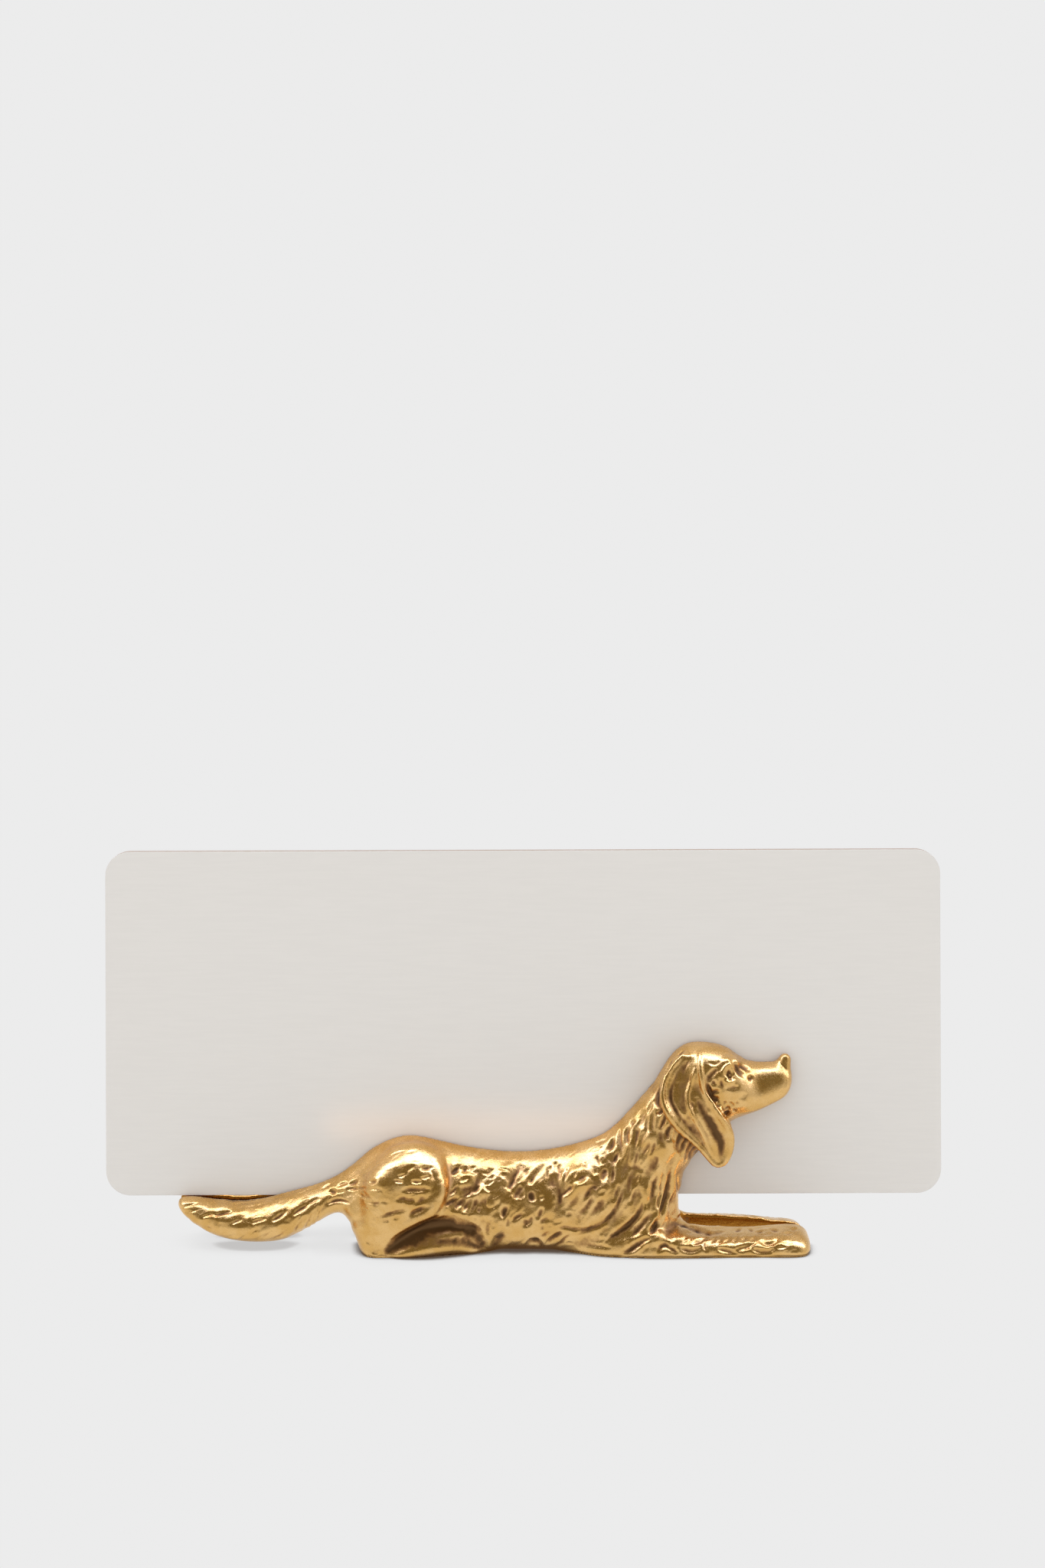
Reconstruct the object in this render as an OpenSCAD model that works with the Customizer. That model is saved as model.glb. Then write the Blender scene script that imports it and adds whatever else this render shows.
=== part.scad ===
// Place card holder: a lying hound in two half castings with a card standing between them.
// The card plane is y = 0, the table is z = 0, and the dog's nose points along +X.

/* [Dog] */
// Length from tail tip to paw
dog_l = 82.4; // [76:1:90]
// Height of the top of the head
dog_h = 26; // [24:0.5:28]
// Width across both castings at the base
dog_w = 17.4; // [16:0.2:20]

/* [Castings] */
// Wall of each hollow-backed casting
wall = 1; // [0.8:0.1:1.3]
// Gap between the castings, where the card stands
slot_w = 1.6; // [1.4:0.1:2]
// Gap between the two forelegs
leg_gap = 4.4; // [3.4:0.2:5]

/* [Seat] */
// Height of the card's lower edge over the table
seat_h = 5.9; // [4.5:0.1:6.5]
// Length of the bar that joins the castings and carries the card
seat_l = 26; // [20:1:28]
// Thickness of the pad inside each casting where the bar is brazed
pad_t = 1.8; // [1.4:0.1:2.4]

/* [Card] */
// Width of the card
card_w = 107.95; // [96:0.5:115]
// Height of the card
card_h = 44.45; // [38:0.5:50]
// Thickness of the card
card_t = 1; // [0.6:0.1:1]
// Radius of the card's corners
card_r = 3.175; // [2:0.1:6]

/* [Hidden] */

brass = "#c79a45";
brass_dark = "#8d6a2c";
card_white = "#ddd9d3";

// Points round a section, and slices between two hand-set stations, outside and inside
outer_points = 28;
outer_slices = 2;
inner_points = 18;
inner_slices = 1;
// Overrun of every cut
over = dog_w;

// A station is [upper x, upper z, lower x, lower z, depth, squareness, lean]: x in shares of
// dog_l from the card's centre, z in shares of dog_h, depth in shares of half of dog_w. A
// squareness of 2 is an ellipse, and a lean above 0 is narrower at the top than at the bottom.
// Tail tip, plume, root, rump, ribs, chest
trunk_shares = [
    [-0.543, 0.212, -0.543, 0.190, 0.14, 2.3, 0],
    [-0.537, 0.230, -0.537, 0.158, 0.30, 2.3, 0.10],
    [-0.516, 0.229, -0.516, 0.106, 0.44, 2.3, 0.20],
    [-0.486, 0.208, -0.486, 0.052, 0.52, 2.3, 0.30],
    [-0.449, 0.197, -0.449, 0.022, 0.57, 2.3, 0.40],
    [-0.413, 0.207, -0.413, 0.014, 0.59, 2.3, 0.40],
    [-0.376, 0.242, -0.376, 0.022, 0.58, 2.3, 0.40],
    [-0.350, 0.268, -0.348, 0.058, 0.55, 2.2, 0.35],
    [-0.328, 0.290, -0.322, 0.105, 0.51, 2.2, 0.30],
    [-0.306, 0.316, -0.299, 0.146, 0.48, 2.2, 0.25],
    [-0.289, 0.343, -0.280, 0.154, 0.51, 2.2, 0.25],
    [-0.274, 0.373, -0.264, 0.070, 0.62, 2.2, 0.25],
    [-0.261, 0.407, -0.246, -0.100, 0.76, 2.2, 0.25],
    [-0.240, 0.464, -0.236, -0.200, 0.86, 2.3, 0.25],
    [-0.208, 0.516, -0.214, -0.220, 0.90, 2.3, 0.25],
    [-0.176, 0.535, -0.180, -0.200, 0.91, 2.3, 0.25],
    [-0.140, 0.514, -0.140, -0.120, 0.90, 2.3, 0.25],
    [-0.097, 0.483, -0.097, -0.050, 0.83, 2.2, 0.25],
    [-0.049, 0.460, -0.049, -0.030, 0.80, 2.2, 0.25],
    [0.000, 0.452, 0.000, -0.030, 0.79, 2.2, 0.25],
    [0.049, 0.468, 0.049, -0.035, 0.80, 2.2, 0.25],
    [0.097, 0.504, 0.097, -0.060, 0.81, 2.3, 0.25],
    [0.134, 0.545, 0.136, -0.100, 0.83, 2.3, 0.25],
    [0.166, 0.560, 0.174, -0.120, 0.83, 2.3, 0.20],
    [0.195, 0.500, 0.208, -0.100, 0.80, 2.3, 0.15],
    [0.222, 0.410, 0.232, -0.030, 0.60, 2.3, 0.05],
    [0.240, 0.345, 0.244, 0.120, 0.34, 2.3, 0],
];

// Withers, neck, skull, brow, muzzle, lips
head_shares = [
    [0.070, 0.470, 0.215, 0.060, 0.62, 2.2, 0.15],
    [0.100, 0.500, 0.236, 0.190, 0.67, 2.2, 0.15],
    [0.133, 0.556, 0.247, 0.300, 0.69, 2.2, 0.15],
    [0.161, 0.640, 0.256, 0.372, 0.69, 2.2, 0.15],
    [0.189, 0.740, 0.274, 0.440, 0.67, 2.3, 0.10],
    [0.210, 0.818, 0.298, 0.518, 0.67, 2.4, 0.05],
    [0.223, 0.892, 0.318, 0.578, 0.69, 2.4, 0],
    [0.240, 0.955, 0.331, 0.610, 0.72, 2.5, 0],
    [0.262, 0.990, 0.344, 0.627, 0.73, 2.6, 0.05],
    [0.294, 0.986, 0.354, 0.640, 0.70, 2.7, 0.10],
    [0.320, 0.962, 0.363, 0.652, 0.63, 2.8, 0.15],
    [0.342, 0.908, 0.374, 0.668, 0.54, 3.0, 0.20],
    [0.366, 0.890, 0.384, 0.684, 0.50, 3.2, 0.20],
    [0.396, 0.892, 0.399, 0.710, 0.47, 3.2, 0.20],
    [0.413, 0.882, 0.413, 0.744, 0.40, 2.8, 0.15],
    [0.420, 0.850, 0.420, 0.784, 0.24, 2.4, 0.10],
];

// Elbow, forearm, wrist, paw of the front casting
foreleg_shares = [
    [0.060, 0.080, 0.060, -0.080, 0.60, 2.0, 0],
    [0.110, 0.150, 0.110, -0.120, 0.88, 2.2, 0],
    [0.170, 0.165, 0.170, -0.120, 0.98, 2.6, 0],
    [0.218, 0.130, 0.218, -0.100, 1.00, 3.2, 0],
    [0.262, 0.097, 0.262, -0.080, 0.99, 4.0, 0],
    [0.315, 0.087, 0.315, -0.080, 0.97, 4.0, 0],
    [0.364, 0.088, 0.364, -0.080, 0.97, 4.0, 0],
    [0.400, 0.098, 0.400, -0.080, 0.98, 3.2, 0],
    [0.426, 0.098, 0.426, -0.080, 0.96, 2.8, 0],
    [0.438, 0.080, 0.438, -0.060, 0.84, 2.6, 0],
    [0.4435, 0.050, 0.4435, -0.030, 0.62, 2.4, 0],
];

// The same of the rear casting, whose foreleg falls away from its inner edge
rear_foreleg_shares = [
    [0.060, 0.080, 0.060, -0.080, 0.60, 2.0, 0],
    [0.110, 0.150, 0.110, -0.120, 0.88, 2.0, 0],
    [0.170, 0.165, 0.170, -0.120, 0.98, 1.9, 0],
    [0.218, 0.134, 0.218, -0.110, 0.98, 1.8, 0],
    [0.262, 0.102, 0.262, -0.096, 0.97, 1.6, 0],
    [0.315, 0.097, 0.315, -0.094, 0.96, 1.6, 0],
    [0.364, 0.086, 0.364, -0.090, 0.96, 1.6, 0],
    [0.400, 0.068, 0.400, -0.080, 0.95, 1.6, 0],
    [0.426, 0.061, 0.426, -0.070, 0.92, 1.7, 0],
    [0.438, 0.044, 0.438, -0.050, 0.80, 1.8, 0],
    [0.4435, 0.028, 0.4435, -0.030, 0.60, 2.0, 0],
];

// Hock, hind foot
hindfoot_shares = [
    [-0.246, 0.060, -0.246, -0.060, 0.84, 2.4, 0],
    [-0.232, 0.085, -0.232, -0.085, 0.94, 2.4, 0],
    [-0.190, 0.105, -0.190, -0.105, 0.92, 2.2, 0],
    [-0.140, 0.125, -0.140, -0.125, 0.86, 2.0, 0],
    [-0.100, 0.120, -0.100, -0.120, 0.80, 2.0, 0],
    [-0.072, 0.095, -0.072, -0.095, 0.72, 2.0, 0],
    [-0.048, 0.050, -0.048, -0.050, 0.60, 2.0, 0],
];

// Thigh, rump, hip, hock and shoulder blade are ovals: [x, depth, z] and their radii, in shares
thigh_at_share = [-0.178, 0.68, 0.245];
thigh_r_share = [0.072, 0.35, 0.230];
rump_at_share = [-0.172, 0.40, 0.375];
rump_r_share = [0.055, 0.36, 0.125];
hip_at_share = [-0.214, 0.38, 0.295];
hip_r_share = [0.040, 0.36, 0.145];
hock_at_share = [-0.234, 0.60, 0.100];
hock_r_share = [0.012, 0.30, 0.100];
shoulder_at_share = [0.098, 0.50, 0.270];
shoulder_r_share = [0.060, 0.315, 0.150];
// Hollow between thigh and hind foot, as [x, depth, z, radius in shares of dog_h]
hollow_shares = [
    [-0.204, 1.03, 0.048, 0.017],
    [-0.165, 1.01, 0.134, 0.040],
    [-0.119, 0.93, 0.162, 0.048],
    [-0.078, 0.89, 0.112, 0.035],
];

// Rows of the ear from root to tip, as [z, back x, front x] shares
ear_shares = [
    [0.950, 0.246, 0.280],
    [0.915, 0.235, 0.279],
    [0.870, 0.224, 0.277],
    [0.815, 0.215, 0.280],
    [0.755, 0.213, 0.289],
    [0.700, 0.218, 0.301],
    [0.645, 0.231, 0.312],
    [0.595, 0.247, 0.316],
    [0.545, 0.263, 0.318],
    [0.495, 0.278, 0.315],
    [0.452, 0.289, 0.308],
    [0.428, 0.297, 0.302],
];
// How far the ear stands out at its root and from there on, in shares of half of dog_w
ear_root_depth_share = 0.50;
ear_depth_share = 0.76;
// Radius of the rolled rim and half the thickness of the leather inside it
ear_rim_share = 0.055;
ear_leaf_share = 0.030;

// Where the space between the forelegs starts, and how high it reaches
leg_space_share = 0.236;
leg_space_top_share = 0.180;

// Eye, brow and nose as [x, depth, z] shares, with radii along x, y and z in shares of dog_h
eye_at_share = [0.322, 0.66, 0.872];
socket_r_share = [0.039, 0.031, 0.026];
eyeball_r_share = [0.027, 0.021, 0.023];
// How much deeper than its socket the eyeball sits, in shares of dog_h
eye_sunk_share = 0.013;
brow_at_share = [0.314, 0.46, 0.895];
brow_r_share = [0.072, 0.055, 0.044];
nose_at_share = [0.409, 0.17, 0.903];
nose_r_share = [0.033, 0.036, 0.033];
nose_base_at_share = [0.406, 0.17, 0.868];
nose_base_r_share = [0.040, 0.046, 0.046];

function grow(p) = [p[0] * dog_l, p[1] * dog_h];
function place(p) = [p[0] * dog_l, -p[1] * dog_w / 2, p[2] * dog_h];
function reach(r) = [r[0] * dog_l, r[1] * dog_w / 2, r[2] * dog_h];
function without_ends(rows) = [for (i = [1 : len(rows) - 2]) rows[i]];

// Catmull-Rom value between b and c
function curve(a, b, c, d, t) =
    b + t * (c - a) / 2
    + t * t * (2 * a - 5 * b + 4 * c - d) / 2
    + t * t * t * (3 * b - a - 3 * c + d) / 2;
function stations(rows, slices) = [
    for (i = [0 : len(rows) - 2], k = [0 : slices - 1])
        curve(rows[max(i - 1, 0)], rows[i], rows[i + 1], rows[min(i + 2, len(rows) - 1)], k / slices),
    rows[len(rows) - 1]
];

function signed_power(v, p) = sign(v) * pow(abs(v), 2 / p);
// One ring of points, inset by the wall for the hollow
function ring(row, inset, n) =
    let (
        upper = grow([row[0], row[1]]),
        lower = grow([row[2], row[3]]),
        mid = (upper + lower) / 2,
        reach = (upper - lower) / 2,
        up = reach * max(1 - inset / norm(reach), inset > 0 ? 0.1 : 0),
        depth = max(row[4] * dog_w / 2 - inset, inset > 0 ? slot_w : 0)
    )
    [for (i = [0 : n - 1])
        let (
            a = 360 * i / n,
            u = signed_power(cos(a), row[5]),
            d = signed_power(sin(a), row[5]) * (1 - row[6] * u)
        )
        [mid[0] + up[0] * u, depth * d, mid[1] + up[1] * u]];

module loft(rows, inset = 0) {
    n = round(inset > 0 ? inner_points : outer_points);
    slices = round(inset > 0 ? inner_slices : outer_slices);
    rings = [for (row = stations(rows, slices)) ring(row, inset, n)];
    last = len(rings) - 1;
    polyhedron(
        points = [for (r = rings) each r],
        faces = [
            [for (i = [0 : n - 1]) n - 1 - i],
            for (k = [0 : last - 1], i = [0 : n - 1]) each [
                [k * n + i, k * n + (i + 1) % n, (k + 1) * n + i],
                [k * n + (i + 1) % n, (k + 1) * n + (i + 1) % n, (k + 1) * n + i]
            ],
            [for (i = [0 : n - 1]) last * n + i]
        ]
    );
}

// An oval by its place and its radii
module blob(at, r) {
    translate(at) scale(r) sphere(1, $fn = 24);
}

// The thigh runs into the rump, hip and hock and steps down to the flank in front
module thigh() {
    hull() {
        blob(place(thigh_at_share), reach(thigh_r_share));
        blob(place(rump_at_share), reach(rump_r_share));
        blob(place(hip_at_share), reach(hip_r_share));
        blob(place(hock_at_share), reach(hock_r_share));
    }
}

module shoulder() {
    blob(place(shoulder_at_share), reach(shoulder_r_share));
}

// Recess between thigh and hind foot
module hollow() {
    for (i = [0 : len(hollow_shares) - 2])
        hull()
            for (h = [hollow_shares[i], hollow_shares[i + 1]])
                translate(place(h)) sphere(h[3] * dog_h, $fn = 12);
}

// The ear leans out from its root over its first half, then hangs straight
function ear_y(z_share) =
    let (
        root = ear_shares[0][0],
        tip = ear_shares[len(ear_shares) - 1][0],
        out = min(1, 2 * (root - z_share) / (root - tip))
    )
    -(ear_root_depth_share + (ear_depth_share - ear_root_depth_share) * out) * dog_w / 2;

module ear_bead(x_share, z_share, r_share) {
    translate([x_share * dog_l, ear_y(z_share), z_share * dog_h])
        sphere(r_share * dog_w / 2, $fn = 8);
}

module ear() {
    last = len(ear_shares) - 1;
    for (i = [0 : last - 1]) {
        a = ear_shares[i];
        b = ear_shares[i + 1];
        for (side = [1, 2])
            hull() {
                ear_bead(a[side], a[0], ear_rim_share);
                ear_bead(b[side], b[0], ear_rim_share);
            }
        hull()
            for (side = [1, 2]) {
                ear_bead(a[side], a[0], ear_leaf_share);
                ear_bead(b[side], b[0], ear_leaf_share);
            }
    }
    tip = ear_shares[last];
    hull()
        for (side = [1, 2]) ear_bead(tip[side], tip[0], ear_rim_share);
}

module nose() {
    blob(place(nose_at_share), nose_r_share * dog_h);
    blob(place(nose_base_at_share), nose_base_r_share * dog_h);
}

module brow() {
    blob(place(brow_at_share), brow_r_share * dog_h);
}

module eye_socket() {
    blob(place(eye_at_share), socket_r_share * dog_h);
}

module eyeball() {
    blob(place(eye_at_share) + [0, eye_sunk_share * dog_h, 0], eyeball_r_share * dog_h);
}

module outer_form(leg_rows) {
    loft(trunk_shares);
    loft(head_shares);
    loft(hindfoot_shares);
    loft(leg_rows);
    thigh();
    shoulder();
    brow();
    nose();
}

// Room inside, one wall smaller than the outer form and above the sole
module inner_form() {
    intersection() {
        union() {
            loft(without_ends(trunk_shares), wall);
            loft(without_ends(head_shares), wall);
        }
        translate([-dog_l, -dog_w, wall]) cube([2 * dog_l, 2 * dog_w, 2 * dog_h]);
    }
}

// Flat pad against which the seat bar is brazed
module seat_pad() {
    translate([-seat_l / 2, -slot_w / 2 - pad_t, 0]) cube([seat_l, pad_t, seat_h]);
}

// Space between the forelegs, round where it meets the chest
module leg_space() {
    hull()
        for (x = [leg_space_share * dog_l + leg_gap / 2, dog_l])
            translate([x, 0, -over]) cylinder(h = over + leg_space_top_share * dog_h, d = leg_gap, $fn = 32);
}

module casting(leg_rows) {
    intersection() {
        difference() {
            union() {
                difference() {
                    outer_form(leg_rows);
                    hollow();
                    eye_socket();
                }
                eyeball();
                ear();
            }
            difference() {
                inner_form();
                seat_pad();
            }
            leg_space();
        }
        translate([-dog_l, -dog_w, 0]) cube([2 * dog_l, dog_w - slot_w / 2, 2 * dog_h]);
    }
}

module front_half() {
    color(brass) casting(foreleg_shares);
}

module rear_half() {
    color(brass) mirror([0, 1, 0]) casting(rear_foreleg_shares);
}

// Bar between the castings: its lower edge stands on the table and its upper edge carries the card
module card_seat() {
    color(brass_dark)
        translate([-seat_l / 2, -slot_w / 2, 0]) cube([seat_l, slot_w, seat_h]);
}

module card_outline() {
    square([card_w - 2 * card_r, card_h], center = true);
    square([card_w, card_h - 2 * card_r], center = true);
    for (x = [-1, 1] * (card_w / 2 - card_r), y = [-1, 1] * (card_h / 2 - card_r))
        translate([x, y]) circle(card_r, $fn = 64);
}

module place_card() {
    color(card_white)
        translate([0, card_t / 2, seat_h + card_h / 2]) rotate([90, 0, 0])
            linear_extrude(card_t) card_outline();
}

front_half();
rear_half();
card_seat();
place_card();
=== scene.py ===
"""Place card holder: a cast brass hound in two halves, with a blank card standing between them."""

import math

import bmesh
import bpy
import numpy as np
from mathutils import Matrix, Vector


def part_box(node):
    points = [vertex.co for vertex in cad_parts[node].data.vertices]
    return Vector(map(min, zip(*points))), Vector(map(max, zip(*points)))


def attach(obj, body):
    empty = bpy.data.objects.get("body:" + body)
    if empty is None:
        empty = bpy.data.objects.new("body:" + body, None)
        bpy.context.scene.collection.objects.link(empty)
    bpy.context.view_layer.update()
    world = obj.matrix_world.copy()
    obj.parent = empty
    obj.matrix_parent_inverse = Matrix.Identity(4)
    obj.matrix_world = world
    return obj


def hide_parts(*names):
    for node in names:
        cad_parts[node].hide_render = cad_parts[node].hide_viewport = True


bl_info = {
    "name": "Place card hound",
    "version": (1, 0, 0),
    "blender": (4, 5, 0),
    "location": "3D View > Sidebar > Place card",
    "description": "Sculpts a cast brass place card hound and its card",
    "category": "Object",
}

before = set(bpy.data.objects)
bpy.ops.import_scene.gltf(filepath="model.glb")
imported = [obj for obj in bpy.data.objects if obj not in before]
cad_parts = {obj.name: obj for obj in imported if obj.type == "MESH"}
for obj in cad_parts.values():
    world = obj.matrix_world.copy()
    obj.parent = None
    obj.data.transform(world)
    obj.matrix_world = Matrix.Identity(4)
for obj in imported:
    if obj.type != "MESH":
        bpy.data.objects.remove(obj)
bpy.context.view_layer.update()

MM = 0.001
FRONT_LOW, FRONT_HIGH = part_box("front_half")
SEAT_LOW, SEAT_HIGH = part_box("card_seat")
CARD_LOW, CARD_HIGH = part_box("place_card")

# Where the outline ends, in shares of the hound's length, height and half width
TAIL_TIP_SHARE, PAW_SHARE, CROWN_SHARE = -0.543, 0.4435, 0.990
THIGH_OUT_SHARE = 1.026
# Sizes in millimetres, read off the frame: the hound's length and height, half its width, half the
# slot, and the seat bar's height and length
DOG_L = (FRONT_HIGH.x - FRONT_LOW.x) / (PAW_SHARE - TAIL_TIP_SHARE) / MM
DOG_H = FRONT_HIGH.z / CROWN_SHARE / MM
HALF_W = -FRONT_LOW.y / THIGH_OUT_SHARE / MM
SLOT = -FRONT_HIGH.y / MM
SEAT_H = SEAT_HIGH.z / MM
SEAT_L = (SEAT_HIGH.x - SEAT_LOW.x) / MM
# The castings' wall, the pads beside the seat bar and the space between the forelegs
WALL = 1.0
PAD = 1.8
LEG_GAP = 4.4

# A station is upper x, upper z, lower x, lower z, depth, squareness, lean: the places and the depth
# are shares of DOG_L, DOG_H and HALF_W, a squareness of 2 is an ellipse, and a lean above 0 is
# narrower at the top than at the bottom
TRUNK = [
    (-0.543, 0.212, -0.543, 0.190, 0.14, 2.3, 0),
    (-0.537, 0.232, -0.537, 0.158, 0.30, 2.3, 0.05),
    (-0.516, 0.234, -0.516, 0.106, 0.44, 2.3, 0.08),
    (-0.486, 0.221, -0.486, 0.052, 0.52, 2.3, 0.12),
    (-0.449, 0.212, -0.449, 0.022, 0.57, 2.3, 0.16),
    (-0.413, 0.220, -0.413, 0.014, 0.59, 2.3, 0.18),
    (-0.376, 0.248, -0.376, 0.022, 0.58, 2.3, 0.20),
    (-0.350, 0.271, -0.348, 0.058, 0.55, 2.2, 0.22),
    (-0.328, 0.290, -0.322, 0.105, 0.51, 2.2, 0.30),
    (-0.306, 0.316, -0.299, 0.146, 0.48, 2.2, 0.25),
    (-0.289, 0.343, -0.280, 0.154, 0.51, 2.2, 0.25),
    (-0.274, 0.373, -0.264, 0.070, 0.62, 2.2, 0.25),
    (-0.261, 0.407, -0.246, -0.100, 0.76, 2.2, 0.25),
    (-0.240, 0.464, -0.236, -0.200, 0.86, 2.3, 0.25),
    (-0.208, 0.516, -0.214, -0.220, 0.90, 2.3, 0.25),
    (-0.176, 0.535, -0.180, -0.200, 0.91, 2.3, 0.25),
    (-0.140, 0.514, -0.140, -0.120, 0.90, 2.3, 0.25),
    (-0.097, 0.483, -0.097, -0.050, 0.83, 2.2, 0.25),
    (-0.049, 0.460, -0.049, -0.030, 0.80, 2.2, 0.25),
    (0.000, 0.452, 0.000, -0.030, 0.79, 2.2, 0.25),
    (0.049, 0.468, 0.049, -0.035, 0.80, 2.2, 0.25),
    (0.097, 0.504, 0.097, -0.060, 0.81, 2.3, 0.25),
    (0.134, 0.545, 0.136, -0.100, 0.83, 2.3, 0.25),
    (0.166, 0.560, 0.174, -0.120, 0.83, 2.3, 0.20),
    (0.195, 0.500, 0.208, -0.100, 0.80, 2.3, 0.15),
    (0.222, 0.410, 0.232, -0.030, 0.60, 2.3, 0.05),
    (0.240, 0.345, 0.244, 0.120, 0.34, 2.3, 0),
]
HEAD = [
    (0.070, 0.470, 0.215, 0.060, 0.62, 2.2, 0.15),
    (0.100, 0.500, 0.236, 0.190, 0.67, 2.2, 0.15),
    (0.133, 0.556, 0.247, 0.300, 0.69, 2.2, 0.15),
    (0.161, 0.640, 0.256, 0.372, 0.69, 2.2, 0.15),
    (0.189, 0.740, 0.274, 0.440, 0.67, 2.3, 0.10),
    (0.210, 0.818, 0.298, 0.518, 0.67, 2.4, 0.05),
    (0.223, 0.892, 0.318, 0.578, 0.69, 2.4, 0),
    (0.240, 0.955, 0.331, 0.610, 0.72, 2.5, 0),
    (0.262, 0.990, 0.344, 0.627, 0.73, 2.6, 0.05),
    (0.294, 0.986, 0.354, 0.640, 0.70, 2.7, 0.10),
    (0.320, 0.962, 0.363, 0.652, 0.63, 2.8, 0.15),
    (0.342, 0.908, 0.374, 0.668, 0.54, 3.0, 0.20),
    (0.366, 0.890, 0.384, 0.684, 0.50, 3.2, 0.20),
    (0.396, 0.892, 0.399, 0.710, 0.47, 3.2, 0.20),
    (0.413, 0.882, 0.413, 0.744, 0.40, 2.8, 0.15),
    (0.420, 0.850, 0.420, 0.784, 0.24, 2.4, 0.10),
]
FORELEG = [
    (0.060, 0.080, 0.060, -0.080, 0.60, 2.0, 0),
    (0.110, 0.150, 0.110, -0.120, 0.88, 2.2, 0),
    (0.170, 0.165, 0.170, -0.120, 0.98, 2.6, 0),
    (0.218, 0.130, 0.218, -0.100, 1.00, 3.2, 0),
    (0.262, 0.097, 0.262, -0.080, 0.99, 4.0, 0),
    (0.315, 0.087, 0.315, -0.080, 0.97, 4.0, 0),
    (0.364, 0.088, 0.364, -0.080, 0.97, 4.0, 0),
    (0.400, 0.098, 0.400, -0.080, 0.98, 3.2, 0),
    (0.426, 0.098, 0.426, -0.080, 0.96, 2.8, 0),
    (0.438, 0.080, 0.438, -0.060, 0.84, 2.6, 0),
    (0.4435, 0.050, 0.4435, -0.030, 0.62, 2.4, 0),
]
REAR_FORELEG = [
    (0.060, 0.080, 0.060, -0.080, 0.60, 2.0, 0),
    (0.110, 0.150, 0.110, -0.120, 0.88, 2.0, 0),
    (0.170, 0.165, 0.170, -0.120, 0.98, 1.9, 0),
    (0.218, 0.134, 0.218, -0.110, 0.98, 1.8, 0),
    (0.262, 0.102, 0.262, -0.096, 0.97, 1.6, 0),
    (0.315, 0.097, 0.315, -0.094, 0.96, 1.6, 0),
    (0.364, 0.086, 0.364, -0.090, 0.96, 1.6, 0),
    (0.400, 0.068, 0.400, -0.080, 0.95, 1.6, 0),
    (0.426, 0.061, 0.426, -0.070, 0.92, 1.7, 0),
    (0.438, 0.044, 0.438, -0.050, 0.80, 1.8, 0),
    (0.4435, 0.028, 0.4435, -0.030, 0.60, 2.0, 0),
]
HINDFOOT = [
    (-0.246, 0.060, -0.246, -0.060, 0.84, 2.4, 0),
    (-0.232, 0.085, -0.232, -0.085, 0.94, 2.4, 0),
    (-0.190, 0.105, -0.190, -0.105, 0.92, 2.2, 0),
    (-0.140, 0.125, -0.140, -0.125, 0.86, 2.0, 0),
    (-0.100, 0.120, -0.100, -0.120, 0.80, 2.0, 0),
    (-0.072, 0.095, -0.072, -0.095, 0.72, 2.0, 0),
    (-0.048, 0.050, -0.048, -0.050, 0.60, 2.0, 0),
]
# Rows of the ear from root to tip: z, back x, front x
EAR = [
    (0.950, 0.246, 0.280),
    (0.915, 0.235, 0.279),
    (0.870, 0.224, 0.277),
    (0.815, 0.215, 0.280),
    (0.755, 0.213, 0.289),
    (0.700, 0.218, 0.301),
    (0.645, 0.231, 0.312),
    (0.595, 0.247, 0.316),
    (0.545, 0.263, 0.318),
    (0.495, 0.278, 0.315),
    (0.452, 0.289, 0.308),
    (0.428, 0.297, 0.302),
]
EAR_ROOT_DEPTH, EAR_DEPTH, EAR_RIM, EAR_LEAF = 0.43, 0.76, 0.055, 0.075
# Ovals by their place and radii, in the same shares: thigh, rump, hip and hock run into each other
THIGH = [
    ((-0.178, 0.68, 0.245), (0.072, 0.35, 0.230)),
    ((-0.172, 0.42, 0.396), (0.055, 0.38, 0.125)),
    ((-0.214, 0.38, 0.295), (0.040, 0.36, 0.145)),
    ((-0.234, 0.60, 0.100), (0.012, 0.30, 0.100)),
]
SHOULDER = [((0.098, 0.50, 0.270), (0.060, 0.315, 0.150))]
# The same with radii in shares of DOG_H
BROW_AT, BROW_R = (0.314, 0.46, 0.895), (0.072, 0.055, 0.044)
NOSE_AT, NOSE_R = (0.409, 0.17, 0.903), (0.033, 0.036, 0.033)
NOSE_BASE_AT, NOSE_BASE_R = (0.406, 0.17, 0.868), (0.040, 0.046, 0.046)
LEG_SPACE_X, LEG_SPACE_TOP = 0.236, 0.180

# The photograph's camera, level and looking along +Y, in millimetres and pixels
PHOTO_W, PHOTO_H = 1365, 2048
LENS, SENSOR = 50.0, 36.0
EYE_X, EYE_Y, EYE_Z = 0.1, -281.95, 84.07
SHIFT_PX, ROLL_DEG = 254, 0.19
FOCAL_PX = LENS / SENSOR * PHOTO_H
STROKE_SEED = 7

# The rough forms are melted together in voxels of these sizes and relaxed for so many rounds
TRUNK_VOXEL, TRUNK_RELAX = 0.3, 14
HEAD_VOXEL, HEAD_RELAX = 0.25, 4
ROOM_VOXEL = 0.4
ROUGH_FACTOR, SKIN_RELAX = 1.4, 3
# The least share of a section that the room inside keeps, and the squareness of the ear's sections
LEAST_ROOM = 0.1
EAR_SQUARENESS = 3
# The skin whose normal turns this far to the card keeps only a share of its faces
INNER_TURN, INNER_KEPT = 0.3, 0.76

# Marks fade out where the skin's normal turns past these values to the card and to the table
CARD_TURN, CARD_FADE = 0.55, 0.4
TABLE_TURN, TABLE_FADE = 0.95, 0.25
# Where two marks cross, the weaker adds this share
CROSSING = 0.3
# A mark's taper is read between these shares of its length. Its width is this share of the stated one
# where the taper is 0, and gains this much where it is 1.
MARK_PART, END_WIDTH, MIDDLE_GAIN = (0.02, 0.98), 0.5, 0.9
# Rounding of the soles' lower edges in millimetres
SOLE_EDGE = 0.45
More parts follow.
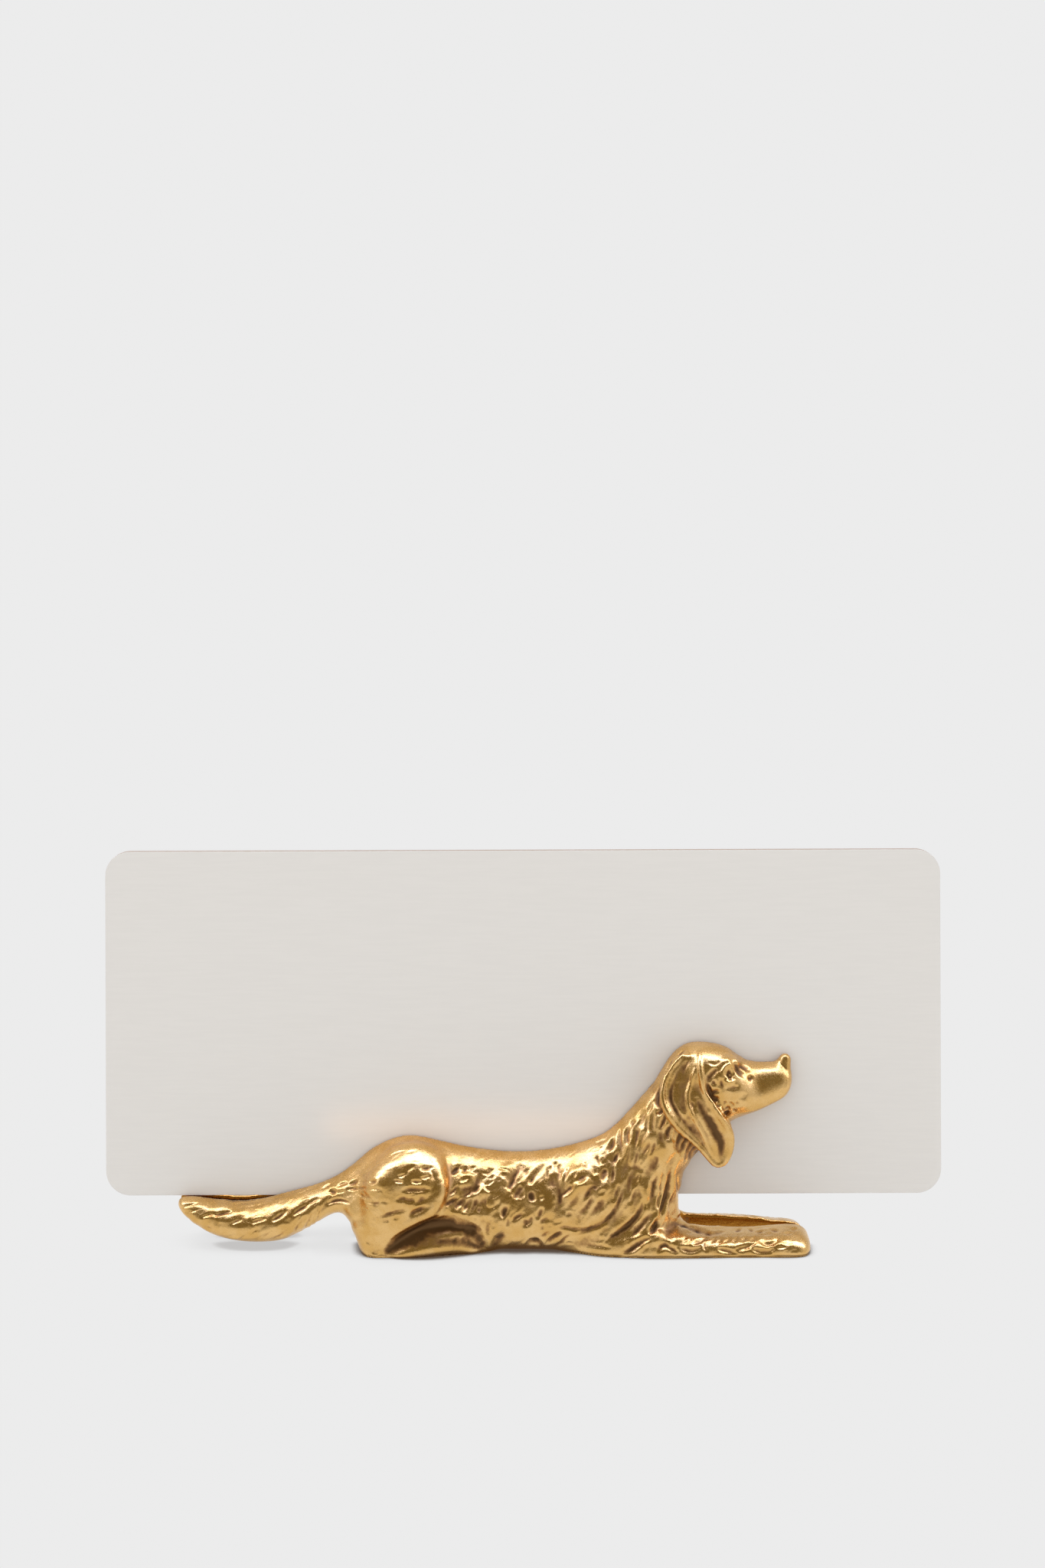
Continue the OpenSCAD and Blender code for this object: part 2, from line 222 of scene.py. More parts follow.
# Patina for each millimetre of a stroke's depth, how fast it sets in, the depth at which it stops, and
# the painted shade on the soles' rounded lower edges, where they meet the table
STROKE_PATINA, PATINA_ONSET, DARKEST_DEPTH, SOLE_SHADE = 1.5, 8, 0.22, 0.8
# Rounds of smoothing, and the darkening for each millimetre that the skin lies under its own smoothed
# form: patina in the small hollows, and painted shade in the broad hollows found by the longer smoothing
HOLLOW_PATINA_AND_SHADE = ((8, 4), (50, 3))
# The range of the patina and painted shade together, and the rounds that even it out
PATINA_AND_SHADE_LEAST, PATINA_AND_SHADE_MOST, PATINA_AND_SHADE_RELAX = -0.3, 1.3, 2
# The painted shade and warm reflection on the inner skin set in where the normal turns past this value
# to the card, over this range
INSIDE_TURN, INSIDE_FADE = 0.2, 0.4

# Where the overhead strip of light and the dim room start and end. The rise is a direction's height,
# the sides are how far it leans aside for each unit forward, and the others are how far it leans to
# the camera's side for each unit that it rises.
STRIP_BACK, STRIP_FRONT, STRIP_RISE = (-0.5, -0.25), (0.06, 0.2), (0.3, 0.6)
ROOM_TOP, ROOM_FOOT, ROOM_SIDES = (0.12, 0.3), (2.2, 6.0), (0.8, 2.2)
# The contact shadow in two layers: how far it reaches in metres and the light that it leaves. The
# range is the openness of the floor over which it clears.
CONTACT_LAYERS, CONTACT_RANGE = ((0.0016, 0.0), (0.006, 0.85)), (0.25, 0.85)
# The raised tail's shadow starts at these shares of DOG_L and lets at least this much light through
TAIL_END, TAIL_ROOT, TAIL_LIGHT = -0.35, -0.29, 0.62
# The warm light that the brass throws on the card: its length, its distance from the card and its
# height, in shares of DOG_L, HALF_W and DOG_H
BOUNCE_LENGTH, BOUNCE_OUT, BOUNCE_UP = 0.62, 1 / 3, 0.57


def grow(share):
    """A place in millimetres from shares of the hound's length, half width and height."""
    return Vector((share[0] * DOG_L, -share[1] * HALF_W, share[2] * DOG_H))


def smooth_rows(rows, slices):
    """Catmull-Rom rows between the given ones."""
    rows = np.array(rows, float)
    found = []
    for i in range(len(rows) - 1):
        a, b = rows[max(i - 1, 0)], rows[i]
        c, d = rows[i + 1], rows[min(i + 2, len(rows) - 1)]
        for k in range(slices):
            t = k / slices
            found.append(
                b + t * (c - a) / 2
                + t * t * (2 * a - 5 * b + 4 * c - d) / 2
                + t ** 3 * (3 * b - a - 3 * c + d) / 2
            )
    found.append(rows[-1])
    return found


def signed_power(v, p):
    """The rounding of a circle's coordinate towards a square as the squareness grows."""
    return math.copysign(abs(v) ** (2 / p), v)


def bridge_rings(bm, rings):
    """Bridges a row of closed rings of points and caps its two ends."""
    loops = []
    for ring in rings:
        made = bmesh.ops.create_circle(bm, cap_ends=False, radius=1, segments=len(ring))["verts"]
        for v, place in zip(made, ring):
            v.co = place
        loops.append(list({e for v in made for e in v.link_edges}))
    for a, b in zip(loops, loops[1:]):
        bmesh.ops.bridge_loops(bm, edges=a + b)
    bmesh.ops.holes_fill(bm, edges=loops[0] + loops[-1], sides=0)


def section_loft(bm, rows, slices=4, segments=48, inset=0.0):
    """A form of squared oval sections, one wall smaller where it is the room inside."""
    if inset:
        rows = rows[1:-1]
    rings = []
    for upper_x, upper_z, lower_x, lower_z, deep, power, lean in smooth_rows(rows, slices):
        upper = Vector((upper_x * DOG_L, upper_z * DOG_H))
        lower = Vector((lower_x * DOG_L, lower_z * DOG_H))
        mid, reach = (upper + lower) / 2, (upper - lower) / 2
        reach *= max(1 - inset / reach.length, LEAST_ROOM)
        depth = max(deep * HALF_W - inset, 2 * SLOT)
        ring = []
        for i in range(segments):
            a = 2 * math.pi * i / segments
            u = signed_power(math.cos(a), power)
            d = depth * signed_power(-math.sin(a), power) * (1 - lean * u)
            ring.append((mid.x + reach.x * u, min(d, SLOT), mid.y + reach.y * u))
        rings.append(ring)
    bridge_rings(bm, rings)


def ear_out(z):
    """The ear leans out from its root over its first half, then hangs straight."""
    root, tip = EAR[0][0], EAR[-1][0]
    t = min(1, 2 * (root - z) / (root - tip))
    return EAR_ROOT_DEPTH + (EAR_DEPTH - EAR_ROOT_DEPTH) * t


def ear_loft(bm, segments=32):
    """The ear's leather as level sections."""
    rim = EAR_RIM * HALF_W
    rings = []
    for z, back, front in smooth_rows(EAR, 3):
        mid, half = (back + front) / 2 * DOG_L, (front - back) / 2 * DOG_L + rim
        y = -ear_out(z) * HALF_W
        ring = []
        for i in range(segments):
            a = 2 * math.pi * i / segments
            ring.append((
                mid + half * signed_power(math.cos(a), EAR_SQUARENESS),
                y + EAR_LEAF * HALF_W * signed_power(math.sin(a), EAR_SQUARENESS),
                z * DOG_H,
            ))
        rings.append(ring)
    bridge_rings(bm, rings)


def blob(bm, at, radii):
    """An oval ball round a centre."""
    matrix = Matrix.Translation(at) @ Matrix.Diagonal((*radii, 1))
    bmesh.ops.create_icosphere(bm, subdivisions=4, radius=1, matrix=matrix)


def hull(bm, ovals):
    """One rounded form round ovals given in shares."""
    part = bmesh.new()
    for at, r in ovals:
        blob(part, grow(at), (r[0] * DOG_L, r[1] * HALF_W, r[2] * DOG_H))
    made = bmesh.ops.convex_hull(part, input=part.verts)
    inner = {v for v in made["geom_interior"] + made["geom_unused"] if isinstance(v, bmesh.types.BMVert)}
    bmesh.ops.delete(part, geom=list(inner), context="VERTS")
    skin = bpy.data.meshes.new("hull")
    part.to_mesh(skin)
    part.free()
    bm.from_mesh(skin)
    bpy.data.meshes.remove(skin)


def new_object(name, bm):
    """An object in the scene from a bmesh, its faces pointing outwards."""
    bmesh.ops.recalc_face_normals(bm, faces=bm.faces)
    mesh = bpy.data.meshes.new(name)
    bm.to_mesh(mesh)
    bm.free()
    obj = bpy.data.objects.new(name, mesh)
    bpy.context.scene.collection.objects.link(obj)
    return obj


def cutter(name, low, high):
    """A block between two corners, to cut with."""
    low, high = Vector(low), Vector(high)
    bm = bmesh.new()
    matrix = Matrix.Translation((low + high) / 2) @ Matrix.Diagonal((*(high - low), 1))
    bmesh.ops.create_cube(bm, size=1, matrix=matrix)
    return new_object(name, bm)


def apply_modifiers(obj):
    """Puts what an object's modifiers make in place of its mesh."""
    graph = bpy.context.evaluated_depsgraph_get()
    made = bpy.data.meshes.new_from_object(obj.evaluated_get(graph))
    old = obj.data
    obj.modifiers.clear()
    obj.data = made
    bpy.data.meshes.remove(old)


def remesh(obj, voxel):
    """Melts the overlapping closed forms of an object into one skin."""
    mod = obj.modifiers.new("melt", "REMESH")
    mod.mode = "VOXEL"
    mod.voxel_size = voxel
    apply_modifiers(obj)


def carve(obj, tool, operation="DIFFERENCE"):
    """Cuts one closed form with another, which is used up."""
    mod = obj.modifiers.new("carve", "BOOLEAN")
    mod.operation = operation
    mod.solver = "MANIFOLD"
    mod.object = tool
    apply_modifiers(obj)
    bpy.data.objects.remove(tool)


def relax(obj, rounds, factor=0.5):
    """Smooths an object's skin."""
    bm = bmesh.new()
    bm.from_mesh(obj.data)
    for _ in range(rounds):
        bmesh.ops.smooth_vert(
            bm, verts=bm.verts, factor=factor, use_axis_x=True, use_axis_y=True, use_axis_z=True)
    bm.to_mesh(obj.data)
    bm.free()


def thin_inside(obj):
    """Takes faces from the skin that faces the card and leaves the rest of it as it is."""
    _, normals = mesh_arrays(obj.data)
    group = obj.vertex_groups.new(name="inside")
    group.add([int(i) for i in np.flatnonzero(normals[:, 1] > INNER_TURN)], 1.0, "REPLACE")
    mod = obj.modifiers.new("thin", "DECIMATE")
    mod.ratio = INNER_KEPT
    mod.vertex_group = group.name
    mod.vertex_group_factor = 100
    apply_modifiers(obj)
    obj.vertex_groups.clear()


def hound_room():
    """The room inside one half casting, over its sole and round the seat's pad."""
    bm = bmesh.new()
    for rows in (TRUNK, HEAD):
        section_loft(bm, rows, slices=2, segments=24, inset=WALL)
    room = new_object("room", bm)
    remesh(room, ROOM_VOXEL)
    carve(room, cutter("floor_cut", (-DOG_L, -DOG_L, -DOG_L), (DOG_L, DOG_L, WALL)))
    carve(room, cutter("pad_cut", (-SEAT_L / 2, -SLOT - PAD, -WALL), (SEAT_L / 2, DOG_L, SEAT_H)))
    return room


def carve_leg_space(whole):
    """Carves the space between the forelegs, round at its inner end."""
    radius, top = LEG_GAP / 2, LEG_SPACE_TOP * DOG_H
    end = LEG_SPACE_X * DOG_L + radius
    bm = bmesh.new()
    bmesh.ops.create_cone(
        bm, cap_ends=True, segments=48, radius1=radius, radius2=radius, depth=DOG_H,
        matrix=Matrix.Translation((end, 0, top - DOG_H / 2)),
    )
    carve(whole, new_object("leg_space_end", bm))
    carve(whole, cutter("leg_space", (end, -radius, -DOG_H), (DOG_L, LEG_GAP, top)))


def hound_form(grain, leg_rows):
    """One half casting as a plain closed form, before its fur is worked."""
    bm = bmesh.new()
    for rows in (TRUNK, HEAD, leg_rows, HINDFOOT):
        section_loft(bm, rows)
    hull(bm, THIGH)
    hull(bm, SHOULDER)
    form = new_object("form", bm)
    remesh(form, TRUNK_VOXEL)
    relax(form, TRUNK_RELAX)
    bm = bmesh.new()
    for at, r in ((BROW_AT, BROW_R), (NOSE_AT, NOSE_R), (NOSE_BASE_AT, NOSE_BASE_R)):
        blob(bm, grow(at), Vector(r) * DOG_H)
    bm.from_mesh(form.data)
    bpy.data.objects.remove(form)
    form = new_object("form", bm)
    remesh(form, HEAD_VOXEL)
    relax(form, HEAD_RELAX)
    bm = bmesh.new()
    ear_loft(bm)
    bm.from_mesh(form.data)
    whole = new_object("hound", bm)
    bpy.data.objects.remove(form)
    remesh(whole, grain * ROUGH_FACTOR)
    carve(whole, hound_room())
    carve_leg_space(whole)
    carve(whole, cutter("half_space", (-DOG_L, -DOG_L, 0), (DOG_L, -SLOT, DOG_L)), "INTERSECT")
    remesh(whole, grain)
    relax(whole, SKIN_RELAX)
    thin_inside(whole)
    return whole


def photo_pixels(points):
    """Where the photograph's camera sees points: rows of x, y, z in millimetres to rows of pixels."""
    scale = FOCAL_PX / (points[:, 1] - EYE_Y)
    u = PHOTO_W / 2 + (points[:, 0] - EYE_X) * scale
    v = PHOTO_H / 2 - SHIFT_PX + (EYE_Z - points[:, 2]) * scale
    return np.stack([u, v - (u - PHOTO_W / 2) * math.tan(math.radians(ROLL_DEG))], axis=1)


# Marks worked into the wax, as the photograph's camera sees them: width in pixels, depth in
# millimetres, then x, y, x, y along the mark in pixels. A mark tapers off at both ends, and one of
# negative depth stands up.
MARKS = {
    "tail": [
        (3.5, .14, 234, 1578, 241, 1575, 257, 1571), (3.5, .14, 235, 1581, 244, 1583, 258, 1578),
        (5, .20, 259, 1591, 268, 1587, 278, 1585), (5.5, .24, 277, 1588, 286, 1585, 300, 1583),
        (3.5, .16, 299, 1599, 306, 1595, 313, 1593), (4.5, .18, 325, 1599, 334, 1594, 344, 1592),
        (7, .22, 352, 1595, 361, 1589, 371, 1582), (6, .18, 264, 1602, 269, 1604, 275, 1606),
        (6.5, .24, 379, 1588, 388, 1580, 400, 1573), (5, .16, 400, 1573, 407, 1568, 415, 1566),
        (5, .14, 293, 1616, 303, 1614, 314, 1613), (4, .14, 306, 1621, 320, 1613, 335, 1604),
        (4, .14, 320, 1626, 334, 1618, 346, 1611), (4, .14, 336, 1622, 348, 1611, 358, 1605),
        (4.5, .16, 338, 1627, 354, 1619, 369, 1612), (4.5, .16, 352, 1624, 366, 1613, 381, 1600),
        (4, .18, 377, 1604, 384, 1596, 391, 1586), (6, .22, 382, 1610, 388, 1600, 398, 1589),
        (5, .20, 389, 1615, 396, 1605, 403, 1591), (5, .20, 397, 1606, 404, 1592, 409, 1579),
        (5, .20, 403, 1603, 409, 1590, 413, 1574), (5, .20, 409, 1600, 416, 1585, 425, 1565),
        (6, .16, 368, 1622, 380, 1614, 392, 1606), (2.5, .06, 344, 1569, 365, 1563, 386, 1558),
        (2.5, .06, 360, 1562, 380, 1557, 401, 1550), (2.5, .06, 384, 1561, 400, 1554, 419, 1545),
        (2.5, .06, 298, 1573, 320, 1571, 339, 1569), (2.5, .06, 308, 1578, 330, 1575, 353, 1570),
        (7, .28, 423, 1574, 432, 1569, 442, 1568, 453, 1571), (8, .22, 428, 1557, 437, 1556),
        (3, .12, 436, 1558, 449, 1556), (5, .16, 439, 1550, 446, 1546, 453, 1545),
        (4, .12, 418, 1553, 424, 1549, 430, 1546),
    ],
    "thigh": [
        (6.5, .20, 452, 1549, 459, 1545, 464, 1540), (7, .22, 479, 1544, 489, 1543),
        (2.5, .08, 462, 1546, 472, 1544, 481, 1543), (6, .20, 451, 1554, 458, 1552, 464, 1552),
        (3.5, .17, 480, 1553, 488, 1553, 497, 1555), (3.5, .14, 462, 1553, 469, 1552, 476, 1552),
        (3.5, .16, 471, 1556, 476, 1562, 486, 1568), (4.5, .15, 467, 1560, 474, 1564, 481, 1568),
        (4, .18, 474, 1569, 483, 1571, 493, 1572), (3.5, .14, 494, 1569, 500, 1570, 506, 1571),
        (5, .14, 485, 1574, 490, 1572, 494, 1569), (2.5, .10, 479, 1592, 487, 1591, 496, 1588),
        (3, .10, 482, 1597, 488, 1600), (3, .10, 470, 1576, 478, 1579),
        (6, .24, 493, 1590, 502, 1587, 512, 1584, 529, 1580), (7, .26, 532, 1587, 541, 1582, 557, 1576),
        (3.5, .17, 495, 1595, 502, 1595, 508, 1594), (5, .17, 510, 1592, 515, 1591, 520, 1590),
        (3, .10, 505, 1600, 512, 1599), (7, .24, 515, 1567, 523, 1566, 530, 1566),
        (7, .26, 526, 1568, 534, 1568, 541, 1566), (7.5, .24, 539, 1573, 546, 1569, 555, 1565),
        (5, .18, 543, 1565, 551, 1563), (3, .10, 533, 1561, 539, 1560),
        (8, .28, 523, 1555, 533, 1554, 545, 1554, 558, 1553), (6, .26, 535, 1543, 541, 1544, 549, 1543),
        (5, .24, 512, 1542, 517, 1543, 524, 1544), (4, .20, 547, 1539, 553, 1538, 560, 1535),
        (5, .14, 514, 1537, 521, 1536, 530, 1532), (7, .10, 526, 1533, 531, 1527, 539, 1523),
        (6.5, .20, 547, 1526, 554, 1526, 562, 1525), (4, .08, 560, 1527, 563, 1534, 566, 1542),
        (3, .12, 568, 1547, 574, 1543), (2.5, .06, 503, 1514, 512, 1507, 526, 1503),
        (2.5, .06, 499, 1509, 511, 1500, 528, 1496), (2.5, .05, 480, 1528, 492, 1520, 505, 1517),
        (2.5, .05, 470, 1536, 484, 1528, 498, 1525), (3, .10, 474, 1621, 482, 1624),
        (7, .20, 482, 1633, 488, 1637, 495, 1633), (4, .14, 475, 1633, 478, 1639),
        (20, -.34, 568, 1514, 573, 1530, 574, 1548, 570, 1565, 561, 1580, 547, 1593, 530, 1603, 510, 1614),
        (10, .12, 580, 1512, 584, 1526, 586, 1545, 583, 1562, 575, 1578, 563, 1590),
    ],
    "foot": [
        (25, .80, 496, 1640, 520, 1622, 545, 1609, 570, 1602, 595, 1601, 615, 1608, 628, 1621),
        (8, .30, 503, 1634, 525, 1620, 545, 1611, 570, 1607, 600, 1608, 618, 1619),
        (17, -.50, 512, 1643, 540, 1635, 570, 1630, 600, 1629, 624, 1637), (3, .08, 535, 1631, 545, 1624),
        (3, .08, 550, 1627, 560, 1621), (3, .08, 566, 1625, 577, 1619), (4, .12, 600, 1619, 609, 1614),
    ],
    "ribs": [
        (8, .20, 602, 1531, 607, 1525), (4, .12, 611, 1528, 618, 1524), (5, .12, 615, 1533, 623, 1530),
        (4.5, .12, 627, 1531, 635, 1533, 642, 1527), (8, .28, 588, 1534, 593, 1528, 597, 1523),
        (7, .20, 599, 1544, 605, 1541, 609, 1538), (3, .10, 633, 1532, 638, 1526),
        (6, .16, 638, 1541, 643, 1536), (4, .14, 631, 1549, 637, 1545, 644, 1541),
        (5.5, .26, 585, 1561, 590, 1556, 596, 1548), (7, .20, 596, 1550, 603, 1553, 608, 1549),
        (7, .20, 607, 1555, 613, 1548), (8, .26, 616, 1559, 620, 1554, 624, 1548),
        (5.5, .16, 630, 1550, 634, 1553, 637, 1557), (5, .22, 599, 1563, 608, 1560, 616, 1552),
        (7, .26, 580, 1576, 588, 1569, 598, 1563), (9, .26, 591, 1580, 598, 1572, 607, 1563),
        (9, .26, 601, 1583, 607, 1574, 614, 1565), (8, .26, 612, 1584, 617, 1574, 622, 1562),
        (7, .20, 621, 1584, 625, 1576), (6.5, .20, 623, 1576, 627, 1569, 629, 1563),
        (4, .20, 631, 1559, 632, 1567, 631, 1574, 636, 1580),
        (2.5, .10, 632, 1563, 640, 1565, 648, 1561, 656, 1553, 660, 1543),
        (3, .12, 635, 1579, 643, 1577, 648, 1572, 653, 1561), (4, .10, 651, 1557, 657, 1548),
        (9, .26, 660, 1555, 664, 1548, 669, 1538, 677, 1523), (7, .15, 652, 1539, 658, 1533),
        (4, .10, 647, 1544, 653, 1539), (4.5, .10, 649, 1526, 656, 1528, 663, 1529),
        (5.5, .16, 683, 1534, 688, 1526), (7, .18, 689, 1547, 692, 1541, 694, 1537),
        (13, .26, 669, 1566, 674, 1557, 679, 1548), (7, .18, 676, 1567, 683, 1557),
        (13, .26, 689, 1556, 694, 1570), (7, .12, 702, 1567, 708, 1562),
        (3.5, .15, 712, 1526, 713, 1540, 713, 1557), (7, .12, 721, 1524, 725, 1518),
        (5.5, .10, 717, 1531, 716, 1523), (9, .15, 729, 1532, 726, 1521),
        (11, .20, 717, 1534, 719, 1545, 720, 1562), (11, .22, 726, 1546, 727, 1560, 730, 1574),
        (4, .14, 723, 1574, 724, 1581), (5, .15, 733, 1546, 736, 1535, 740, 1526),
        (9, .26, 730, 1562, 738, 1556, 746, 1548), (11, .26, 739, 1577, 748, 1567, 758, 1551),
        (13, .30, 752, 1546, 758, 1539, 766, 1536), (9, .24, 761, 1567, 766, 1557, 771, 1548),
        (10, .24, 757, 1585, 765, 1575, 773, 1562), (8, .20, 772, 1548, 778, 1554),
        (5, .16, 775, 1537, 774, 1527), (4.5, .12, 763, 1526, 762, 1518), (3.5, .10, 753, 1524, 754, 1518),
        (4.5, .12, 747, 1539, 749, 1530), (11, .30, 784, 1542, 787, 1533, 788, 1525),
        (9, .18, 774, 1582, 780, 1572, 786, 1564), (8, .14, 779, 1561, 787, 1554),
        (7, .14, 782, 1582, 787, 1573), (10, .24, 654, 1591, 656, 1583, 660, 1576),
        (4, .15, 651, 1597, 653, 1602), (5, .16, 657, 1601, 661, 1597, 661, 1591),
        (7, .24, 667, 1596, 672, 1590, 682, 1585), (7, .22, 680, 1603, 685, 1598, 680, 1593),
        (5.5, .20, 685, 1600, 690, 1594, 692, 1588), (8, .26, 699, 1592, 703, 1585, 706, 1578),
        (7, .18, 703, 1597, 708, 1593, 714, 1590), (5.5, .16, 704, 1606, 709, 1601),
        (5, .12, 713, 1603, 718, 1599), (5, .12, 721, 1597, 728, 1596, 734, 1594),
        (6, .15, 737, 1588, 744, 1584), (5, .10, 750, 1595, 758, 1592), (3.5, .12, 679, 1622, 686, 1615),
        (9, .26, 683, 1628, 690, 1621, 700, 1622, 707, 1630),
        (9, .32, 711, 1623, 718, 1618, 727, 1612, 733, 1610), (6, .22, 704, 1617, 712, 1611, 719, 1610),
        (5, .22, 721, 1629, 730, 1624, 736, 1617, 746, 1612), (3.5, .10, 737, 1623, 747, 1624),
        (7, .25, 720, 1606, 735, 1603, 750, 1606, 764, 1606, 775, 1600, 784, 1589),
        (10, .20, 636, 1614, 633, 1604, 631, 1592), (5, .15, 640, 1604, 644, 1599),
        (6, .20, 612, 1590, 622, 1596), (7, .24, 615, 1605, 618, 1614), (7, .20, 620, 1619, 628, 1617),
    ],
    "chest": [
        (7, .26, 799, 1487, 796, 1496, 792, 1504), (7, .26, 804, 1504, 801, 1512, 799, 1519),
        (7, .18, 797, 1523, 798, 1534, 796, 1545), (5.5, .15, 792, 1511, 798, 1521),
        (5.5, .15, 777, 1511, 781, 1522), (6, .20, 808, 1475, 807, 1490, 810, 1506),
        (6.5, .20, 819, 1472, 816, 1482, 818, 1496), (9, .26, 829, 1473, 829, 1484, 826, 1498),
        (7.5, .20, 837, 1479, 834, 1490, 832, 1504), (7, .20, 822, 1495, 818, 1508, 816, 1522),
        (7, .20, 831, 1500, 828, 1512, 825, 1523), (9, .30, 846, 1490, 842, 1500, 837, 1508),
        (6, .26, 853, 1491, 850, 1502, 846, 1509), (7, .24, 857, 1510, 855, 1520, 850, 1529),
        (7, .16, 848, 1511, 842, 1520, 833, 1529), (8, .15, 811, 1525, 824, 1524, 836, 1528, 847, 1532),
        (5, .16, 832, 1530, 830, 1543), (4.5, .15, 838, 1533, 836, 1547),
        (6, .14, 820, 1530, 818, 1545, 816, 1560), (5, .14, 828, 1535, 826, 1550),
        (8, .30, 812, 1548, 808, 1564, 801, 1580, 789, 1594, 776, 1603, 762, 1609, 748, 1614),
        (5.5, .18, 806, 1547, 803, 1557, 799, 1569), (6, .20, 829, 1551, 825, 1562, 820, 1574),
        (10, .36, 838, 1564, 835, 1578, 829, 1589, 819, 1600, 806, 1608, 790, 1620),
        (4, .16, 832, 1596, 826, 1604, 818, 1611), (9, .32, 855, 1592, 852, 1603, 845, 1613),
        (11, .38, 850, 1617, 839, 1620, 828, 1627, 818, 1634, 809, 1638),
        (5, .20, 858, 1529, 853, 1545, 850, 1562), (4.5, .18, 866, 1527, 862, 1542, 859, 1557),
        (9, .34, 875, 1528, 872, 1545, 869, 1560, 864, 1575, 859, 1588),
        (5, .22, 861, 1556, 858, 1568, 857, 1580), (4.5, .18, 884, 1532, 881, 1545, 883, 1558),
        (5, .22, 879, 1555, 873, 1570, 870, 1582), (5, .15, 845, 1551, 844, 1562),
        (7, .15, 853, 1558, 851, 1570), (5, .14, 843, 1568, 844, 1578), (4, .12, 848, 1540, 845, 1552),
        (5, .14, 781, 1607, 792, 1605), (4, .12, 760, 1620, 775, 1621, 790, 1618),
        (5, .14, 755, 1626, 775, 1627, 795, 1630),
    ],
    "neck": [
        (8, .26, 862, 1415, 857, 1428, 855, 1440, 859, 1449), (7, .26, 856, 1456, 863, 1449),
        (7, .26, 867, 1456, 863, 1466, 859, 1475), (10, .32, 873, 1471, 869, 1480, 871, 1490),
        (5.5, .26, 881, 1473, 878, 1484, 877, 1492), (9, .32, 888, 1479, 884, 1488, 882, 1498, 887, 1507),
        (9, .32, 894, 1486, 891, 1498, 887, 1512), (9, .32, 902, 1491, 898, 1502, 893, 1518),
        (8, .32, 907, 1497, 903, 1506, 898, 1517), (6, .26, 912, 1502, 905, 1511),
        (10, .16, 861, 1474, 861, 1484, 868, 1499), (7, .16, 852, 1453, 849, 1468, 852, 1483),
        (6, .14, 844, 1458, 842, 1468, 843, 1478), (9, .16, 840, 1450, 837, 1458, 833, 1468),
        (5, .16, 867, 1405, 871, 1395, 875, 1384), (3.5, .12, 868, 1411, 872, 1400),
        (5, .16, 880, 1384, 886, 1377, 891, 1371), (6, .14, 826, 1462, 822, 1470),
        (6, .12, 852, 1436, 847, 1446, 843, 1456),
    ],
    "head": [
        (10, .32, 951, 1380, 958, 1389, 963, 1398, 969, 1406), (7, .22, 961, 1390, 970, 1394, 977, 1398),
        (6, .20, 977, 1405, 979, 1412), (10, .26, 936, 1395, 928, 1403, 922, 1413),
        (8, .26, 929, 1411, 933, 1418), (7, .30, 921, 1414, 925, 1426, 931, 1440),
        (6, .26, 926, 1430, 932, 1426, 938, 1425), (8, .24, 937, 1408, 941, 1417, 943, 1425),
        (7, .22, 931, 1432, 936, 1439), (6, .15, 945, 1421, 955, 1421, 963, 1419),
        (5, .12, 924, 1388, 932, 1390, 938, 1386), (7, .20, 933, 1442, 938, 1448),
        (5, .16, 943, 1441, 947, 1439), (5, .16, 948, 1438, 950, 1436), (5, .14, 951, 1435, 956, 1433),
        (5, .16, 950, 1442, 953, 1440), (5, .16, 946, 1448, 951, 1446), (6, .16, 953, 1445, 957, 1443),
        (6, .16, 959, 1443, 963, 1440), (7, .26, 942, 1459, 947, 1455, 951, 1451),
        (5, .16, 955, 1452, 959, 1449), (4.5, .14, 939, 1451, 942, 1454),
        (9, -.14, 946, 1463, 965, 1456, 985, 1451, 1005, 1445, 1020, 1434, 1028, 1418, 1030, 1400),
        (2.5, .14, 960, 1458, 985, 1453, 1006, 1448, 1020, 1440),
        (4, .08, 1014, 1382, 1018, 1388, 1022, 1393, 1025, 1399), (3.5, .15, 983, 1384, 991, 1382),
        (3.5, .15, 992, 1384, 999, 1383), (3.5, .12, 1001, 1382, 1011, 1381),
        (13, .50, 948, 1404, 955, 1403), (5.5, -.42, 950, 1404, 953, 1403),
        (4, -.24, 941, 1406, 942, 1398, 947, 1392, 955, 1391, 961, 1396),
        (4, -.18, 944, 1411, 951, 1414, 958, 1411), (16, -.16, 944, 1390, 953, 1384, 962, 1388),
    ],
    "ear": [
        (8, -.50, 893, 1374, 883, 1386, 875, 1396, 868, 1409, 864, 1423, 864, 1437, 868, 1449, 874, 1459,
         883, 1470, 894, 1481, 905, 1491, 914, 1500, 922, 1510, 930, 1520, 937, 1524),
        (9, -.48, 934, 1524, 943, 1519, 949, 1508, 952, 1494, 951, 1482, 947, 1472, 941, 1462, 932, 1449,
         924, 1437, 918, 1425, 915, 1412, 913, 1398, 912, 1384, 912, 1374),
        (26, .14, 900, 1388, 891, 1406, 887, 1426, 892, 1446, 903, 1466, 916, 1486, 928, 1504),
        (8, .24, 892, 1388, 883, 1402, 876, 1418, 874, 1433, 879, 1448, 888, 1461, 898, 1473, 908, 1485),
        (15, .32, 908, 1436, 915, 1450, 924, 1464, 933, 1480, 939, 1495, 938, 1511),
        (6, -.34, 906, 1396, 901, 1412, 896, 1430, 898, 1447, 905, 1462, 915, 1480, 922, 1496, 929, 1510),
        (5, .16, 897, 1385, 892, 1395, 888, 1408), (5, .14, 884, 1412, 880, 1420),
        (5, .14, 890, 1412, 887, 1422), (6, .16, 887, 1436, 888, 1446, 892, 1456),
        (5, .16, 900, 1438, 905, 1448), (5, .16, 897, 1450, 902, 1456), (4, .14, 894, 1462, 900, 1470),
        (5, .16, 903, 1462, 910, 1471), (4, .14, 912, 1492, 916, 1498), (4, .14, 900, 1472, 907, 1480),
    ],
    "foreleg": [
        (11, .32, 856, 1635, 862, 1628, 868, 1627, 874, 1632), (8, .26, 870, 1629, 876, 1632, 882, 1637),
